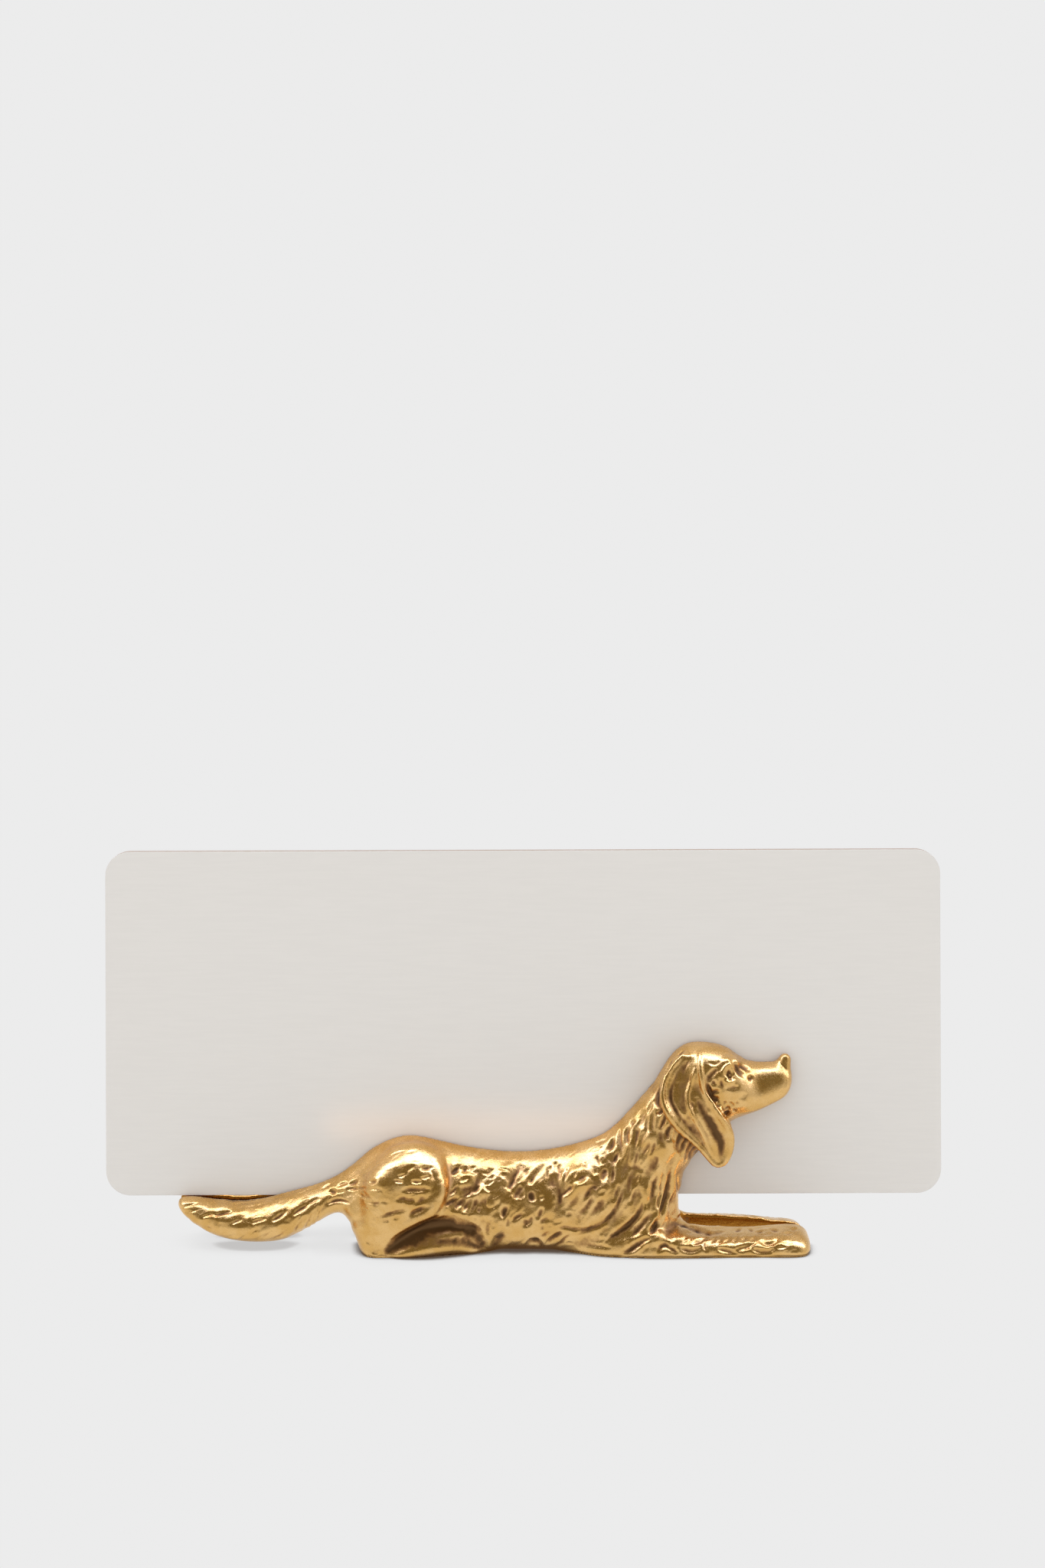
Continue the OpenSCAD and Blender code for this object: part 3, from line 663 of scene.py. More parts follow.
        (8, .26, 885, 1629, 893, 1633, 902, 1634, 914, 1629), (5.5, .20, 902, 1626, 911, 1621, 922, 1617),
        (5.5, .20, 916, 1621, 918, 1628, 921, 1635), (3.5, .15, 927, 1623, 933, 1616),
        (3.5, .15, 936, 1623, 942, 1616), (3.5, .15, 946, 1623, 952, 1616),
        (3.5, .15, 956, 1623, 962, 1615), (3.5, .15, 967, 1622, 973, 1615),
        (3.5, .15, 978, 1622, 984, 1615), (8, .22, 990, 1620, 998, 1625, 1007, 1624, 1013, 1619),
        (8, .28, 935, 1631, 946, 1634, 962, 1638), (8, .24, 957, 1633, 968, 1630, 980, 1627),
        (9, .28, 979, 1630, 990, 1635, 1001, 1635, 1008, 1629), (4.5, .15, 1012, 1630, 1023, 1629),
        (3.5, .12, 1002, 1636, 1009, 1639), (5, .16, 972, 1627, 984, 1624),
        (7, .18, 874, 1595, 893, 1602, 908, 1607, 925, 1611, 943, 1609),
        (5, -.08, 873, 1589, 895, 1597, 920, 1603, 946, 1602), (4, .18, 888, 1600, 896, 1603),
        (5, .22, 905, 1605, 911, 1608), (5, .22, 918, 1609, 927, 1611), (4, .14, 958, 1608, 966, 1605),
        (4, .12, 974, 1605, 981, 1608), (4, .14, 985, 1610, 994, 1608), (4, .12, 1003, 1606, 1014, 1608),
        (4, .12, 1030, 1606, 1038, 1605), (3.5, .10, 1022, 1611, 1031, 1611),
        (7, -.06, 860, 1608, 890, 1614, 922, 1619, 950, 1618, 980, 1616, 1012, 1615),
    ],
}
# Dark patches laid through the patina, placed like the marks, with their strength in place of the depth.
# The first three are painted shade on the hind foot and in the hollow between it and the thigh; the rest
# darken the ear, eye socket, neck, chest, belly and ribs.
STAINS_AND_SHADE = [
    (34, 1.0, 500, 1648, 530, 1635, 562, 1627, 600, 1624, 636, 1628),
    (16, 0.9, 540, 1645, 580, 1642, 614, 1635),
    (11, 0.7, 503, 1636, 525, 1620, 548, 1609, 575, 1604, 598, 1606, 616, 1615),
    (18, 0.3, 914, 1452, 924, 1468, 935, 1486, 941, 1500, 940, 1512),
    (12, 0.3, 921, 1413, 926, 1427, 934, 1440), (12, 0.35, 954, 1384, 962, 1394, 970, 1404),
    (14, 0.3, 858, 1410, 853, 1428, 857, 1446), (12, 0.3, 880, 1478, 890, 1494, 902, 1512),
    (10, 0.35, 872, 1530, 868, 1550, 862, 1572, 856, 1588),
    (10, 0.3, 836, 1572, 826, 1592, 806, 1608, 786, 1620),
    (10, 0.3, 846, 1618, 828, 1628, 808, 1640), (12, 0.25, 700, 1628, 714, 1618, 730, 1610),
    (16, 0.25, 752, 1538, 770, 1548, 780, 1562), (14, 0.2, 684, 1556, 694, 1562),
]
# How the fur lies: pixel x, pixel y, and the hair's direction in degrees above level
FLOW = [
    (245, 1578, 0), (290, 1590, 12), (330, 1612, 30), (370, 1600, 35), (405, 1580, 45), (400, 1560, 25),
    (440, 1555, 15), (470, 1520, 30), (480, 1560, -5), (520, 1500, 20), (550, 1520, 5), (530, 1555, -3),
    (540, 1580, 18), (500, 1610, 25), (590, 1510, 10), (600, 1545, 45), (600, 1575, 55),
    (650, 1530, 40), (640, 1580, 60), (690, 1540, 62), (690, 1600, 40), (720, 1550, 80),
    (750, 1560, 55), (730, 1615, 25), (780, 1540, 62), (780, 1590, 45), (770, 1500, 20),
    (810, 1490, 75), (820, 1560, 68), (800, 1610, 35), (850, 1490, 62), (850, 1540, 75),
    (845, 1610, 40), (840, 1440, 55), (870, 1490, 75), (870, 1550, 80), (900, 1500, 60),
    (930, 1625, 15), (1000, 1620, 10), (870, 1400, 60), (930, 1430, 40), (1000, 1420, 10),
]
# Boxes in which strokes are combed in at random: x0, y0, x1, y1 in pixels, how many, their depth in
# millimetres, their least and greatest width and half their least and greatest length in pixels
COMBED = [
    (250, 1570, 420, 1625, 40, 0.07, 7, 14, 8, 20),
    (440, 1525, 575, 1610, 28, 0.08, 10, 22, 8, 20),
    (590, 1532, 800, 1625, 70, 0.18, 10, 26, 8, 20),
    (800, 1480, 890, 1630, 44, 0.18, 9, 18, 10, 24),
    (830, 1400, 885, 1500, 16, 0.10, 8, 16, 8, 18),
    (925, 1385, 975, 1460, 14, 0.10, 7, 14, 5, 10),
    (240, 1560, 430, 1630, 110, 0.04, 2.5, 5, 3, 9),
    (430, 1495, 580, 1610, 70, 0.03, 2.5, 5, 4, 10),
    (590, 1495, 800, 1530, 60, 0.02, 2.5, 4, 5, 10),
    (590, 1530, 800, 1630, 150, 0.06, 3, 6, 3, 8),
    (780, 1460, 900, 1635, 170, 0.07, 2.5, 5.5, 3, 9),
    (820, 1380, 890, 1500, 60, 0.05, 2.5, 5, 3, 8),
    (870, 1590, 1040, 1640, 70, 0.05, 2.5, 5, 3, 7),
    (560, 1560, 640, 1600, 30, 0.06, 3, 6, 3, 8),
    (870, 1380, 945, 1510, 40, 0.04, 2.5, 5, 3, 8),
]
# The pixels that soften a flow point's pull, the strokes' spread in degrees, their bow as a share of
# half their least length, the range of their depth in shares of the stated one, and the share of them
# that stand up
FLOW_NEAR, SPREAD_DEG, BOW_SHARE, DEPTH_RANGE, RAISED_SHARE = 4, 9, 0.15, (0.4, 1.3), 0.45


def combed_strokes(seed):
    """Small strokes along the fur, thrown in at random between the placed marks."""
    rng = np.random.default_rng(seed)
    flow = np.array(FLOW, float)
    strokes = []
    for x0, y0, x1, y1, count, depth, thin, thick, short, long in COMBED:
        for u, v in rng.uniform((x0, y0), (x1, y1), (count, 2)):
            weight = 1 / (np.hypot(flow[:, 0] - u, flow[:, 1] - v) + FLOW_NEAR) ** 3
            turn = math.radians(np.sum(weight * flow[:, 2]) / weight.sum() + rng.normal(0, SPREAD_DEG))
            reach = np.array((math.cos(turn), -math.sin(turn))) * rng.uniform(short, long)
            bow = np.array((math.sin(turn), math.cos(turn))) * rng.normal(0, BOW_SHARE * short)
            middle = np.array((u, v)) + bow
            height = depth * rng.uniform(*DEPTH_RANGE) * (-1 if rng.random() < RAISED_SHARE else 1)
            line = (*(middle - reach - bow), *middle, *(middle + reach - bow))
            strokes.append((rng.uniform(thin, thick), height, *line))
    return strokes


def mesh_arrays(mesh):
    """The places and normals of a mesh's vertices."""
    count = len(mesh.vertices)
    co = np.empty(count * 3)
    mesh.vertices.foreach_get("co", co)
    normals = np.empty(count * 3)
    mesh.vertex_normals.foreach_get("vector", normals)
    return co.reshape(-1, 3), normals.reshape(-1, 3)


def mark_distance(pixels, points):
    """Distance from each pixel place to a mark's line, and how far along the line it lies."""
    steps = smooth_rows(points, 4)
    best = np.full(len(pixels), 1e9)
    along = np.zeros(len(pixels))
    for k, (a, b) in enumerate(zip(steps, steps[1:])):
        line = b - a
        t = np.clip((pixels - a) @ line / max(line @ line, 1e-9), 0, 1)
        away = np.hypot(*(pixels - a - t[:, None] * line).T)
        near = away < best
        best = np.where(near, away, best)
        along = np.where(near, (k + t) / (len(steps) - 1), along)
    return best, along


def mark_profile(width, points, pixels):
    """How strongly a mark works on each pixel place, from 0 beside it to 1 on its line."""
    away, along = mark_distance(pixels, points)
    taper = np.sqrt(np.clip(np.sin(math.pi * np.clip(along, *MARK_PART)), 0, 1))
    r = np.clip(away / (width * (END_WIDTH + MIDDLE_GAIN * taper) / 2), 0, 1)
    return taper * (1 - r * r) ** 2


def work_marks(obj, depth_factor):
    """Works the marks into the outer skin and returns, on each vertex, the strength of the patina and of
    the painted shade.
    """
    co, normals = mesh_arrays(obj.data)
    pixels = photo_pixels(co)
    off_card = np.clip((CARD_TURN - normals[:, 1]) / CARD_FADE, 0, 1)
    outer = off_card * np.clip((normals[:, 2] + TABLE_TURN) / TABLE_FADE, 0, 1)
    raised, sunk, stain_and_shade = np.zeros((3, len(co)))
    placed = [mark for marks in MARKS.values() for mark in marks] + combed_strokes(STROKE_SEED)
    # Dark patches on the hind foot and in the hollow above it are painted shade
    for (width, depth, *places), is_patch in [(m, False) for m in placed] + [(m, True) for m in STAINS_AND_SHADE]:
        line = np.array(places, float).reshape(-1, 2)
        low, high = line.min(0) - width, line.max(0) + width
        near = np.flatnonzero(np.all((pixels > low) & (pixels < high), axis=1) & (outer > 0))
        if not len(near):
            continue
        bump = abs(depth) * mark_profile(width, line, pixels[near])
        worked = stain_and_shade if is_patch else raised if depth < 0 else sunk
        worked[near] = np.maximum(worked[near], bump) + CROSSING * np.minimum(worked[near], bump)
    co = co + normals * ((raised - sunk) * outer * depth_factor)[:, None]
    co[:, 2] = np.maximum(co[:, 2], 0)
    # The soles' lower edges are rounded in and get painted shade where they meet the table
    under = np.clip(1 - co[:, 2] / SOLE_EDGE, 0, 1) ** 2 * outer
    co[:, :2] -= normals[:, :2] * (under * SOLE_EDGE)[:, None]
    obj.data.vertices.foreach_set("co", co.ravel())
    obj.data.update()
    dark = np.minimum(sunk, DARKEST_DEPTH) * np.clip(sunk * PATINA_ONSET, 0, 1) * STROKE_PATINA
    # Patina in the strokes, the dark patches with their painted shade, and painted shade on the soles'
    # edges
    return (dark + stain_and_shade) * outer + under * SOLE_SHADE


def smoothed(mesh, values, rounds):
    """Values on the vertices, averaged with their neighbours' a number of times."""
    edges = np.empty(len(mesh.edges) * 2, int)
    mesh.edges.foreach_get("vertices", edges)
    a, b = edges[0::2], edges[1::2]
    links = np.maximum(np.bincount(a, minlength=len(values)) + np.bincount(b, minlength=len(values)), 1)
    soft = values.reshape(len(values), -1).copy()
    for _ in range(rounds):
        for k in range(soft.shape[1]):
            total = np.bincount(a, soft[b, k], len(soft)) + np.bincount(b, soft[a, k], len(soft))
            soft[:, k] = 0.4 * soft[:, k] + 0.6 * total / links
    return soft.reshape(values.shape)


def hollows(mesh, rounds):
    """How far each vertex lies in a hollow, in millimetres: its distance under its own smoothed skin."""
    co, normals = mesh_arrays(mesh)
    return np.sum((smoothed(mesh, co, rounds) - co) * normals, axis=1)


def casting(name, grain, depth_factor, leg_rows):
    """A finished half casting in metres, with the attributes patina, which also holds painted shade, and
    inside, which marks the inner skin painted with shade and reflection.
    """
    hound = hound_form(grain, leg_rows)
    patina_and_shade = work_marks(hound, depth_factor)
    mesh = hound.data
    _, normals = mesh_arrays(mesh)
    # The longer smoothing finds broad hollows, where shade is painted; the shorter one puts patina in small
    # ones
    for rounds, strength in HOLLOW_PATINA_AND_SHADE:
        patina_and_shade = patina_and_shade + hollows(mesh, rounds) * strength
    patina_and_shade = smoothed(mesh, np.clip(patina_and_shade, PATINA_AND_SHADE_LEAST, PATINA_AND_SHADE_MOST), PATINA_AND_SHADE_RELAX)
    # Faces turned to the card are marked for painted shade and warm reflection from the other half
    inside = np.clip((normals[:, 1] - INSIDE_TURN) / INSIDE_FADE, 0, 1)
    for key, values in (("patina_and_shade", patina_and_shade), ("inside", inside)):
        layer = mesh.attributes.new(key, "FLOAT", "POINT")
        layer.data.foreach_set("value", values.astype(np.float32))
    mesh.transform(Matrix.Diagonal((MM, MM, MM, 1)))
    mesh.shade_smooth()
    mesh.materials.clear()
    hound.name = mesh.name = name
    return hound


def node_material(name):
    """A new material with its nodes and its shader."""
    material = bpy.data.materials.new(name)
    material.use_nodes = True
    tree = material.node_tree
    return material, tree, tree.nodes["Principled BSDF"]


def link(tree, source, target):
    """Joins two sockets."""
    tree.links.new(source, target)


def place_in(tree):
    """The place on the object itself, in metres."""
    return tree.nodes.new("ShaderNodeTexCoord").outputs["Object"]


def noise(tree, coordinate, scale, detail=3.0, roughness=0.55):
    """Cloudy noise from 0 to 1, its scale per metre."""
    node = tree.nodes.new("ShaderNodeTexNoise")
    node.inputs["Scale"].default_value = scale
    node.inputs["Detail"].default_value = detail
    node.inputs["Roughness"].default_value = roughness
    link(tree, coordinate, node.inputs["Vector"])
    return node.outputs["Fac"]


def drawn_out(tree, squeeze, scale, detail):
    """Noise drawn out into lines along X."""
    stretch = tree.nodes.new("ShaderNodeMapping")
    stretch.inputs["Scale"].default_value = (squeeze, 1, 1)
    link(tree, place_in(tree), stretch.inputs["Vector"])
    return noise(tree, stretch.outputs["Vector"], scale, detail)


def stand_up(tree, shader, height, strength, distance):
    """Lets a pattern stand up on a finish by a distance in metres."""
    bump = tree.nodes.new("ShaderNodeBump")
    bump.inputs["Strength"].default_value = strength
    bump.inputs["Distance"].default_value = distance
    link(tree, height, bump.inputs["Height"])
    link(tree, bump.outputs["Normal"], shader.inputs["Normal"])


def remap(tree, value, low, high, to_low=0.0, to_high=1.0):
    """A value eased from one range to another."""
    node = tree.nodes.new("ShaderNodeMapRange")
    node.interpolation_type = "SMOOTHSTEP"
    for key, number in (("From Min", low), ("From Max", high), ("To Min", to_low), ("To Max", to_high)):
        node.inputs[key].default_value = number
    link(tree, value, node.inputs["Value"])
    return node.outputs["Result"]


def arithmetic(tree, operation, a, b):
    """One sum on two sockets or numbers."""
    node = tree.nodes.new("ShaderNodeMath")
    node.operation = operation
    for socket, value in zip(node.inputs, (a, b)):
        if isinstance(value, (int, float)):
            socket.default_value = value
        else:
            link(tree, value, socket)
    return node.outputs[0]


def mix_colour(tree, factor, a, b):
    """One of two colours, or a mixture, by a factor."""
    node = tree.nodes.new("ShaderNodeMix")
    node.data_type = "RGBA"
    link(tree, factor, node.inputs["Factor"])
    for socket, value in ((node.inputs["A"], a), (node.inputs["B"], b)):
        if isinstance(value, bpy.types.NodeSocket):
            link(tree, value, socket)
        else:
            socket.default_value = (*value, 1)
    return node.outputs["Result"]


def attribute(tree, key):
    """A value that the sculpting left on the vertices."""
    node = tree.nodes.new("ShaderNodeAttribute")
    node.attribute_name = key
    return node.outputs["Fac"]


def brass_material(settings):
    """Cast brass: polished high places, patina and painted shade in hollows, painted shade and reflection
    inside.
    """
    material, tree, shader = node_material("antique_brass")
    place = place_in(tree)
    cloud = noise(tree, place, scale=420, detail=4)
    grain = noise(tree, place, scale=1300, detail=5, roughness=0.62)
    fine = noise(tree, place, scale=4600, detail=4, roughness=0.65)
    speckle = arithmetic(tree, "MULTIPLY", arithmetic(tree, "SUBTRACT", grain, 0.5), 1.2)
    blotch = arithmetic(tree, "MULTIPLY", arithmetic(tree, "SUBTRACT", cloud, 0.5), 0.8)
    # The patina attribute carries real patina and painted shade alike
    patina_and_shade = arithmetic(tree, "ADD", attribute(tree, "patina_and_shade"), arithmetic(tree, "ADD", speckle, blotch))
    dark = remap(tree, patina_and_shade, 0.05, 0.8)
    core = remap(tree, patina_and_shade, 0.6, 1.1)
    gold = mix_colour(tree, remap(tree, cloud, 0.35, 0.65), settings.gold_deep, settings.gold)
    # Darker amber on the inner skin is painted shade and warm reflection
    gold = mix_colour(tree, attribute(tree, "inside"), gold, settings.gold_inside_shade)
    brown = mix_colour(tree, core, settings.patina_and_shade, tuple(0.4 * c for c in settings.patina_and_shade))
    link(tree, mix_colour(tree, dark, gold, brown), shader.inputs["Base Color"])
    link(tree, remap(tree, dark, 0, 1, to_low=1.0, to_high=0.8), shader.inputs["Metallic"])
    polish = remap(tree, fine, 0.3, 0.7, to_low=0.21, to_high=0.32)
    dulled = arithmetic(tree, "ADD", polish, arithmetic(tree, "MULTIPLY", dark, 0.16))
    link(tree, dulled, shader.inputs["Roughness"])
    pitted = arithmetic(tree, "ADD", grain, arithmetic(tree, "MULTIPLY", fine, 0.45))
    stand_up(tree, shader, pitted, strength=0.5, distance=0.00007)
    return material


def bar_material(settings):
    """Drawn brass bar with fine lines along its length."""
    material, tree, shader = node_material("bar_brass")
    lines = drawn_out(tree, squeeze=0.04, scale=6000, detail=2)
    colour = mix_colour(tree, lines, settings.gold_inside_shade, settings.gold_deep)
    link(tree, colour, shader.inputs["Base Color"])
    link(tree, remap(tree, lines, 0.3, 0.7, to_low=0.3, to_high=0.45), shader.inputs["Roughness"])
    shader.inputs["Metallic"].default_value = 1.0
    return material


def card_material(settings):
    """Card face with its faint level grain."""
    material, tree, shader = node_material("card_stock")
    grain = drawn_out(tree, squeeze=0.08, scale=2600, detail=4)
    pale = tuple(0.985 * c for c in settings.card)
    colour = mix_colour(tree, remap(tree, grain, 0.35, 0.65), pale, settings.card)
    link(tree, colour, shader.inputs["Base Color"])
    shader.inputs["Roughness"].default_value = 0.62
    stand_up(tree, shader, grain, strength=0.12, distance=0.00002)
    return material


def card_edge_material(settings):
    """The card's warmer cut edge."""
    material, tree, shader = node_material("card_edge")
    fibre = noise(tree, place_in(tree), scale=4000, detail=3)
    low = tuple(0.8 * c for c in settings.card_edge)
    link(tree, mix_colour(tree, fibre, low, settings.card_edge), shader.inputs["Base Color"])
    shader.inputs["Roughness"].default_value = 0.8
    return material


class PLACECARD_PG_hound(bpy.types.PropertyGroup):
    """Sizes and colours of the two castings and the bar."""

    grain: bpy.props.FloatProperty(
        name="Grain", description="Size of the sculpted skin's faces in millimetres",
        default=0.19, min=0.12, max=0.5)
    fur: bpy.props.FloatProperty(
        name="Fur depth", description="Factor on the depth of every worked mark", default=1.2, min=0, max=2)
    gold: bpy.props.FloatVectorProperty(
        name="Gold", description="Polished brass",
        subtype="COLOR", default=(0.88, 0.56, 0.22), min=0, max=1)
    gold_deep: bpy.props.FloatVectorProperty(
        name="Deep gold", description="Duller brass",
        subtype="COLOR", default=(0.76, 0.45, 0.14), min=0, max=1)
    # Darker amber painted on the inner skin as shade and warm reflection; the bar reuses it
    gold_inside_shade: bpy.props.FloatVectorProperty(
        name="Inside", description="Unpolished inner skin",
        subtype="COLOR", default=(0.50, 0.22, 0.03), min=0, max=1)
    # Brown of the patina and of the painted shade under the thigh, along the soles and in broad hollows
    patina_and_shade: bpy.props.FloatVectorProperty(
        name="Patina", description="Brown in the hollows",
        subtype="COLOR", default=(0.36, 0.18, 0.06), min=0, max=1)


class PLACECARD_PG_card(bpy.types.PropertyGroup):
    """Finish of the card."""

    edge_round: bpy.props.FloatProperty(
        name="Edge rounding", description="Rounding of the card's edges", default=0.00012, unit="LENGTH")
    card: bpy.props.FloatVectorProperty(
        name="Card", description="Card face", subtype="COLOR", default=(0.77, 0.74, 0.70), min=0, max=1)
    card_edge: bpy.props.FloatVectorProperty(
        name="Card edge", description="Cut edge of the card",
        subtype="COLOR", default=(0.50, 0.38, 0.29), min=0, max=1)


class PLACECARD_PG_stage(bpy.types.PropertyGroup):
    """Floor, light and camera."""

    floor: bpy.props.FloatVectorProperty(
        name="Floor", description="Pale floor and backdrop",
        subtype="COLOR", default=(0.838, 0.838, 0.838), min=0, max=1)
    # Colour of the painted contact shadow on the floor
    contact_shadow_colour: bpy.props.FloatVectorProperty(
        name="Contact", description="Floor where the object touches it",
        subtype="COLOR", default=(0.10, 0.07, 0.05), min=0, max=1)
    room: bpy.props.FloatVectorProperty(
        name="Room", description="Dim room on the camera's side",
        subtype="COLOR", default=(0.19, 0.16, 0.085), min=0, max=1)
    top_light: bpy.props.FloatProperty(
        name="Top light", description="Strength of the strip of light overhead", default=9.0, min=0)
    top_colour: bpy.props.FloatVectorProperty(
        name="Top colour", description="Colour of that light",
        subtype="COLOR", default=(0.6, 0.66, 1.0), min=0, max=1)
    side_light: bpy.props.FloatProperty(
        name="Side light", description="Strength of the world round the object", default=0.68, min=0)
    bounce: bpy.props.FloatProperty(
        name="Bounce", description="Power of the warm light that the brass throws on the card",
        default=0.00012, min=0)
    bounce_colour: bpy.props.FloatVectorProperty(
        name="Bounce colour", description="Colour of that light",
        subtype="COLOR", default=(1.0, 0.5, 0.15), min=0, max=1)
    dome_light: bpy.props.FloatProperty(
        name="Dome light", description="Strength of the even light on dull surfaces", default=1.05, min=0)


class PLACECARD_OT_front_casting(bpy.types.Operator):
    """Sculpt the front half of the hound"""

    bl_idname = "placecard.front_casting"
    bl_label = "Front casting"

    def execute(self, context):
        settings = context.scene.placecard_hound
        piece = casting("front_casting", settings.grain, settings.fur, FORELEG)
        piece.data.materials.append(brass_material(settings))
        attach(piece, "holder")
        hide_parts("front_half")
        return {"FINISHED"}


class PLACECARD_OT_rear_casting(bpy.types.Operator):
    """Sculpt the rear half, the mirror of the front one but for its foreleg"""

    bl_idname = "placecard.rear_casting"
    bl_label = "Rear casting"

    def execute(self, context):
        settings = context.scene.placecard_hound
        piece = casting("rear_casting", settings.grain, settings.fur, REAR_FORELEG)
        piece.data.transform(Matrix.Diagonal((1, -1, 1, 1)))
        piece.data.flip_normals()
        piece.data.materials.append(bpy.data.objects["front_casting"].data.materials[0])
        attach(piece, "holder")
        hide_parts("rear_half")
        return {"FINISHED"}


class PLACECARD_OT_seat_bar(bpy.types.Operator):
    """Finish the bar that joins the castings"""

    bl_idname = "placecard.seat_bar"
    bl_label = "Seat bar"

    def execute(self, context):
        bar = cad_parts["card_seat"]
        bar.data.materials.clear()
        bar.data.materials.append(bar_material(context.scene.placecard_hound))
        return {"FINISHED"}


class PLACECARD_OT_card(bpy.types.Operator):
    """Cut the blank card"""

    bl_idname = "placecard.card"
    bl_label = "Card"

    corner_radius: bpy.props.FloatProperty(
        name="Corner radius", description="Radius of the card's corners", default=0.003175, unit="LENGTH")

    def execute(self, context):
        settings = context.scene.placecard_card
        size, middle = CARD_HIGH - CARD_LOW, (CARD_HIGH + CARD_LOW) / 2
        bm = bmesh.new()
        bmesh.ops.create_cube(bm, size=1, matrix=Matrix.Translation(middle) @ Matrix.Diagonal((*size, 1)))
        corners = [e for e in bm.edges if abs(e.verts[0].co.y - e.verts[1].co.y) > size.y / 2]
        bmesh.ops.bevel(
            bm, geom=corners, offset=self.corner_radius, segments=16,
            profile=0.5, affect="EDGES", material=-1)
        rims = [e for e in bm.edges if abs(e.verts[0].co.y - e.verts[1].co.y) < size.y / 2]
        bmesh.ops.bevel(
            bm, geom=rims, offset=settings.edge_round, segments=3,
            profile=0.5, affect="EDGES", material=-1)
        for face in bm.faces:
            face.material_index = 0 if abs(face.normal.y) > 0.5 else 1
            face.smooth = True
        piece = new_object("blank_card", bm)
        piece.data.set_sharp_from_angle(angle=math.radians(40))
        piece.data.materials.append(card_material(settings))
        piece.data.materials.append(card_edge_material(settings))
        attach(piece, "card")
        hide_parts("place_card")
        return {"FINISHED"}


def mirror_ray(tree, path):
    """1 on a ray that a mirror or a glass sends on, else 0."""
    return arithmetic(tree, "MAXIMUM", path.outputs["Is Glossy Ray"], path.outputs["Is Transmission Ray"])


def show_either(tree, factor, hidden, shown, out):
    """Ends a node tree with one of two shaders."""
    either = tree.nodes.new("ShaderNodeMixShader")
    link(tree, factor, either.inputs["Fac"])
    link(tree, hidden.outputs[0], either.inputs[1])
    link(tree, shown.outputs[0], either.inputs[2])
    link(tree, either.outputs[0], out.inputs["Surface"])


def contact_shadow(tree):
    """1 on the open floor and less close under the object."""
    layers = []
    for reach, left in CONTACT_LAYERS:
        near = tree.nodes.new("ShaderNodeAmbientOcclusion")
        near.samples = 8
        near.inputs["Distance"].default_value = reach
        layers.append(remap(tree, near.outputs["AO"], *CONTACT_RANGE, left, 1.0))
    place = tree.nodes.new("ShaderNodeSeparateXYZ")
    link(tree, place_in(tree), place.inputs["Vector"])
    ends = [share * DOG_L * MM for share in (TAIL_END, TAIL_ROOT)]
    least = remap(tree, place.outputs["X"], *ends, TAIL_LIGHT, 0.0)
    return arithmetic(tree, "MAXIMUM", arithmetic(tree, "MULTIPLY", *layers), least)


def floor_material(settings):
    """Pale floor: even but for the contact shadow where the camera or a mirror sees it, else lit."""
    material, tree, shader = node_material("studio_floor")
    tree.nodes.remove(shader)
    path = tree.nodes.new("ShaderNodeLightPath")
    lit = tree.nodes.new("ShaderNodeBsdfDiffuse")
    lit.inputs["Color"].default_value = (*settings.floor, 1)
    plain = tree.nodes.new("ShaderNodeEmission")
    colour = mix_colour(tree, contact_shadow(tree), settings.contact_shadow_colour, settings.floor)
    link(tree, colour, plain.inputs["Color"])
    seen = arithmetic(tree, "MAXIMUM", mirror_ray(tree, path), path.outputs["Is Camera Ray"])
    show_either(tree, seen, lit, plain, tree.nodes["Material Output"])
    return material


def mirrored_studio(tree, settings):
    """What the brass mirrors: a strip of light overhead, pale sides and a dim room behind the camera."""
    split = tree.nodes.new("ShaderNodeSeparateXYZ")
    link(tree, tree.nodes.new("ShaderNodeTexCoord").outputs["Generated"], split.inputs["Vector"])
    forward = arithmetic(tree, "MULTIPLY", split.outputs["Y"], -1.0)
    tilt = arithmetic(tree, "DIVIDE", forward, arithmetic(tree, "MAXIMUM", split.outputs["Z"], 0.02))
    aside = arithmetic(tree, "ABSOLUTE", split.outputs["X"], 0.0)
    across = arithmetic(tree, "DIVIDE", aside, arithmetic(tree, "MAXIMUM", forward, 0.05))
    dim = remap(tree, across, *ROOM_SIDES, 1.0, 0.0)
    for part in (remap(tree, tilt, *ROOM_TOP), remap(tree, tilt, *ROOM_FOOT, 1.0, 0.0)):
        dim = arithmetic(tree, "MULTIPLY", dim, part)
    lamp = remap(tree, split.outputs["Z"], *STRIP_RISE)
    for part in (remap(tree, tilt, *STRIP_BACK), remap(tree, tilt, *STRIP_FRONT, 1.0, 0.0)):
        lamp = arithmetic(tree, "MULTIPLY", lamp, part)
    around = mix_colour(tree, dim, (settings.side_light,) * 3, settings.room)
    return mix_colour(tree, lamp, around, tuple(settings.top_light * c for c in settings.top_colour))


def studio_world(settings):
    """The mirrored studio, an even dome for dull surfaces, and the plain backdrop for the camera."""
    world = bpy.data.worlds.new("studio")
    world.use_nodes = True
    tree = world.node_tree
    tree.nodes.remove(tree.nodes["Background"])
    path = tree.nodes.new("ShaderNodeLightPath")
    dome = (settings.dome_light,) * 3
    studio = tree.nodes.new("ShaderNodeBackground")
    colour = mix_colour(tree, mirror_ray(tree, path), dome, mirrored_studio(tree, settings))
    link(tree, colour, studio.inputs["Color"])
    backdrop = tree.nodes.new("ShaderNodeBackground")
    backdrop.inputs["Color"].default_value = (*settings.floor, 1)
    show_either(tree, path.outputs["Is Camera Ray"], studio, backdrop, tree.nodes["World Output"])
    return world


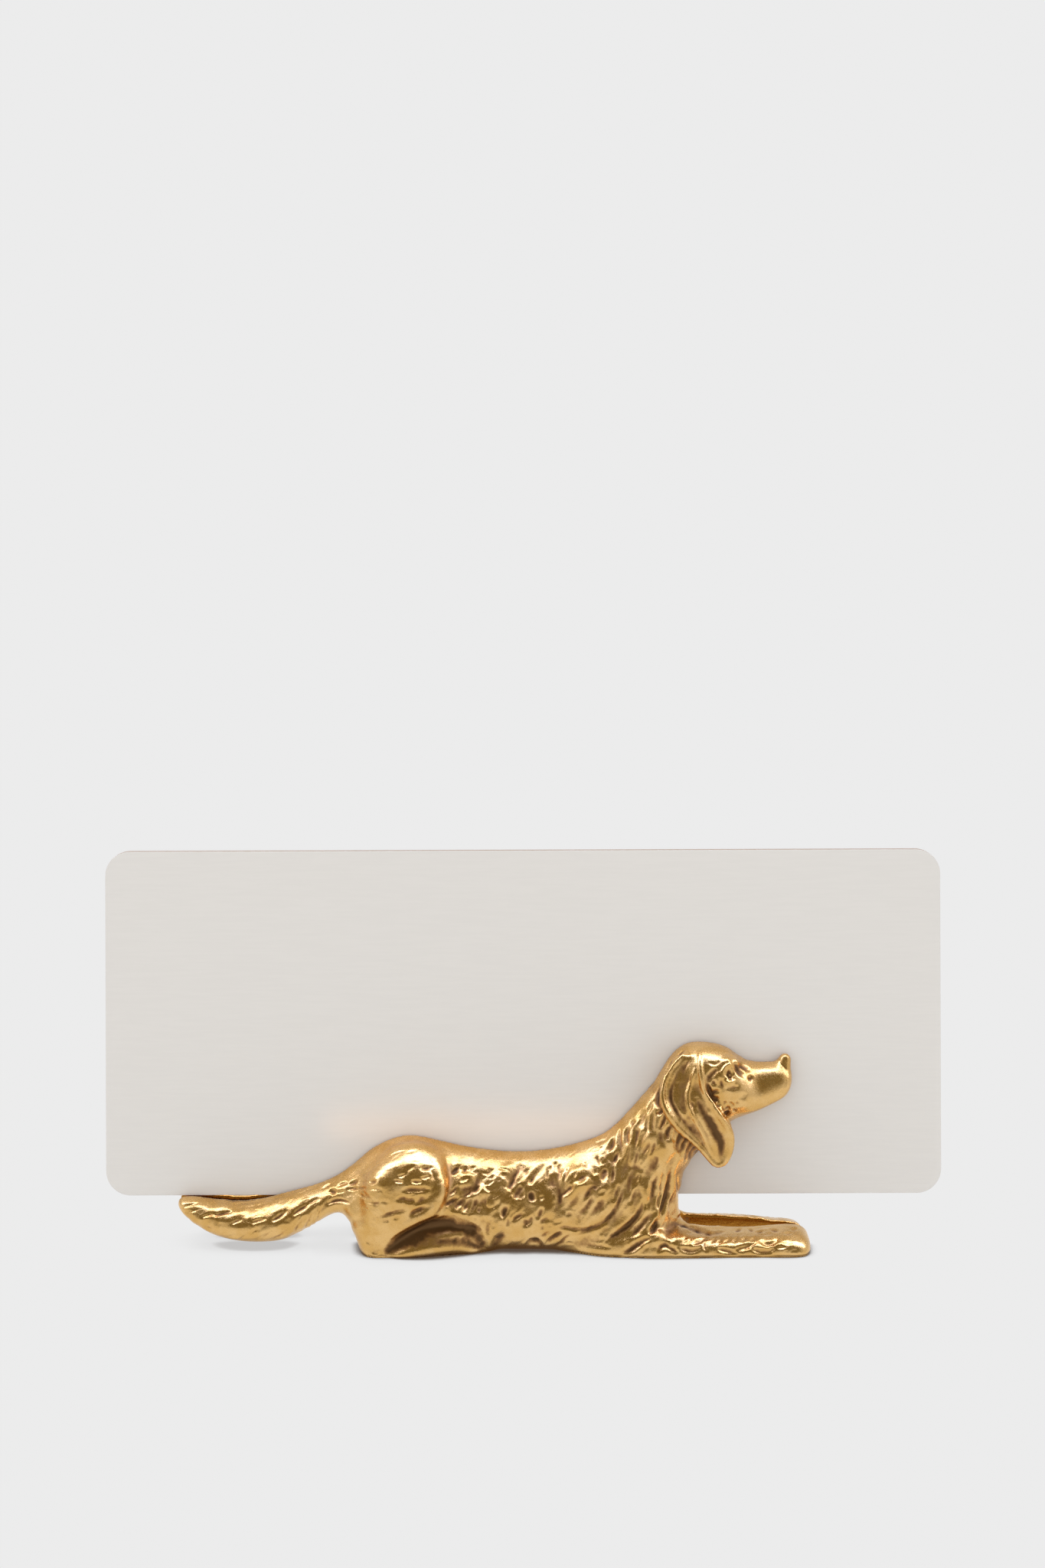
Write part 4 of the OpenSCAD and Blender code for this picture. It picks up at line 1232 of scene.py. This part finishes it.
def brass_bounce(settings):
    """The warm light that the hound's back and neck throw on the card."""
    light = bpy.data.lights.new("brass_bounce", "AREA")
    light.shape = "RECTANGLE"
    light.size, light.size_y = BOUNCE_LENGTH * DOG_L * MM, 3 * SLOT * MM
    light.energy, light.color = settings.bounce, settings.bounce_colour
    obj = bpy.data.objects.new("brass_bounce", light)
    obj.location = grow((0, BOUNCE_OUT, BOUNCE_UP)) * MM
    obj.rotation_euler = (math.radians(90), 0, 0)
    obj.visible_camera = obj.visible_glossy = False
    return obj


def photo_camera():
    """The camera that took the photograph."""
    camera = bpy.data.cameras.new("photo_camera")
    camera.lens, camera.sensor_width = LENS, SENSOR
    camera.shift_y = -SHIFT_PX / PHOTO_H
    camera.clip_start = 0.01
    obj = bpy.data.objects.new("photo_camera", camera)
    obj.location = Vector((EYE_X, EYE_Y, EYE_Z)) * MM
    obj.rotation_euler = (math.radians(90), math.radians(ROLL_DEG), 0)
    return obj


class PLACECARD_OT_stage(bpy.types.Operator):
    """Set the floor, the light and the photograph's camera"""

    bl_idname = "placecard.stage"
    bl_label = "Stage"

    floor_size: bpy.props.FloatProperty(
        name="Floor size", description="Side of the square floor", default=6.0, unit="LENGTH")

    def execute(self, context):
        scene = context.scene
        settings = scene.placecard_stage
        bm = bmesh.new()
        bmesh.ops.create_grid(bm, x_segments=1, y_segments=1, size=self.floor_size / 2)
        floor = new_object("studio_floor", bm)
        floor.data.materials.append(floor_material(settings))
        scene.world = studio_world(settings)
        scene.collection.objects.link(brass_bounce(settings))
        scene.camera = photo_camera()
        scene.collection.objects.link(scene.camera)
        scene.view_settings.view_transform = "Standard"
        return {"FINISHED"}


class PLACECARD_PT_panel(bpy.types.Panel):
    """Lists the holder's pieces and settings"""

    bl_idname = "PLACECARD_PT_panel"
    bl_label = "Place card hound"
    bl_space_type = "VIEW_3D"
    bl_region_type = "UI"
    bl_category = "Place card"

    def draw(self, context):
        for key, group in GROUPS.items():
            for setting in group.__annotations__:
                self.layout.prop(getattr(context.scene, key), setting)
        for operator in OPERATORS:
            self.layout.operator(operator.bl_idname)


GROUPS = {
    "placecard_hound": PLACECARD_PG_hound,
    "placecard_card": PLACECARD_PG_card,
    "placecard_stage": PLACECARD_PG_stage,
}
OPERATORS = (
    PLACECARD_OT_front_casting,
    PLACECARD_OT_rear_casting,
    PLACECARD_OT_seat_bar,
    PLACECARD_OT_card,
    PLACECARD_OT_stage,
)


def register():
    for key, group in GROUPS.items():
        bpy.utils.register_class(group)
        setattr(bpy.types.Scene, key, bpy.props.PointerProperty(type=group))
    for cls in (*OPERATORS, PLACECARD_PT_panel):
        bpy.utils.register_class(cls)


def unregister():
    for cls in reversed((*OPERATORS, PLACECARD_PT_panel)):
        bpy.utils.unregister_class(cls)
    for key, group in GROUPS.items():
        delattr(bpy.types.Scene, key)
        bpy.utils.unregister_class(group)


def main():
    """Makes every piece and the stage."""
    register()
    bpy.ops.placecard.front_casting()
    bpy.ops.placecard.rear_casting()
    bpy.ops.placecard.seat_bar()
    bpy.ops.placecard.card()
    bpy.ops.placecard.stage()


if __name__ == "__main__":
    main()
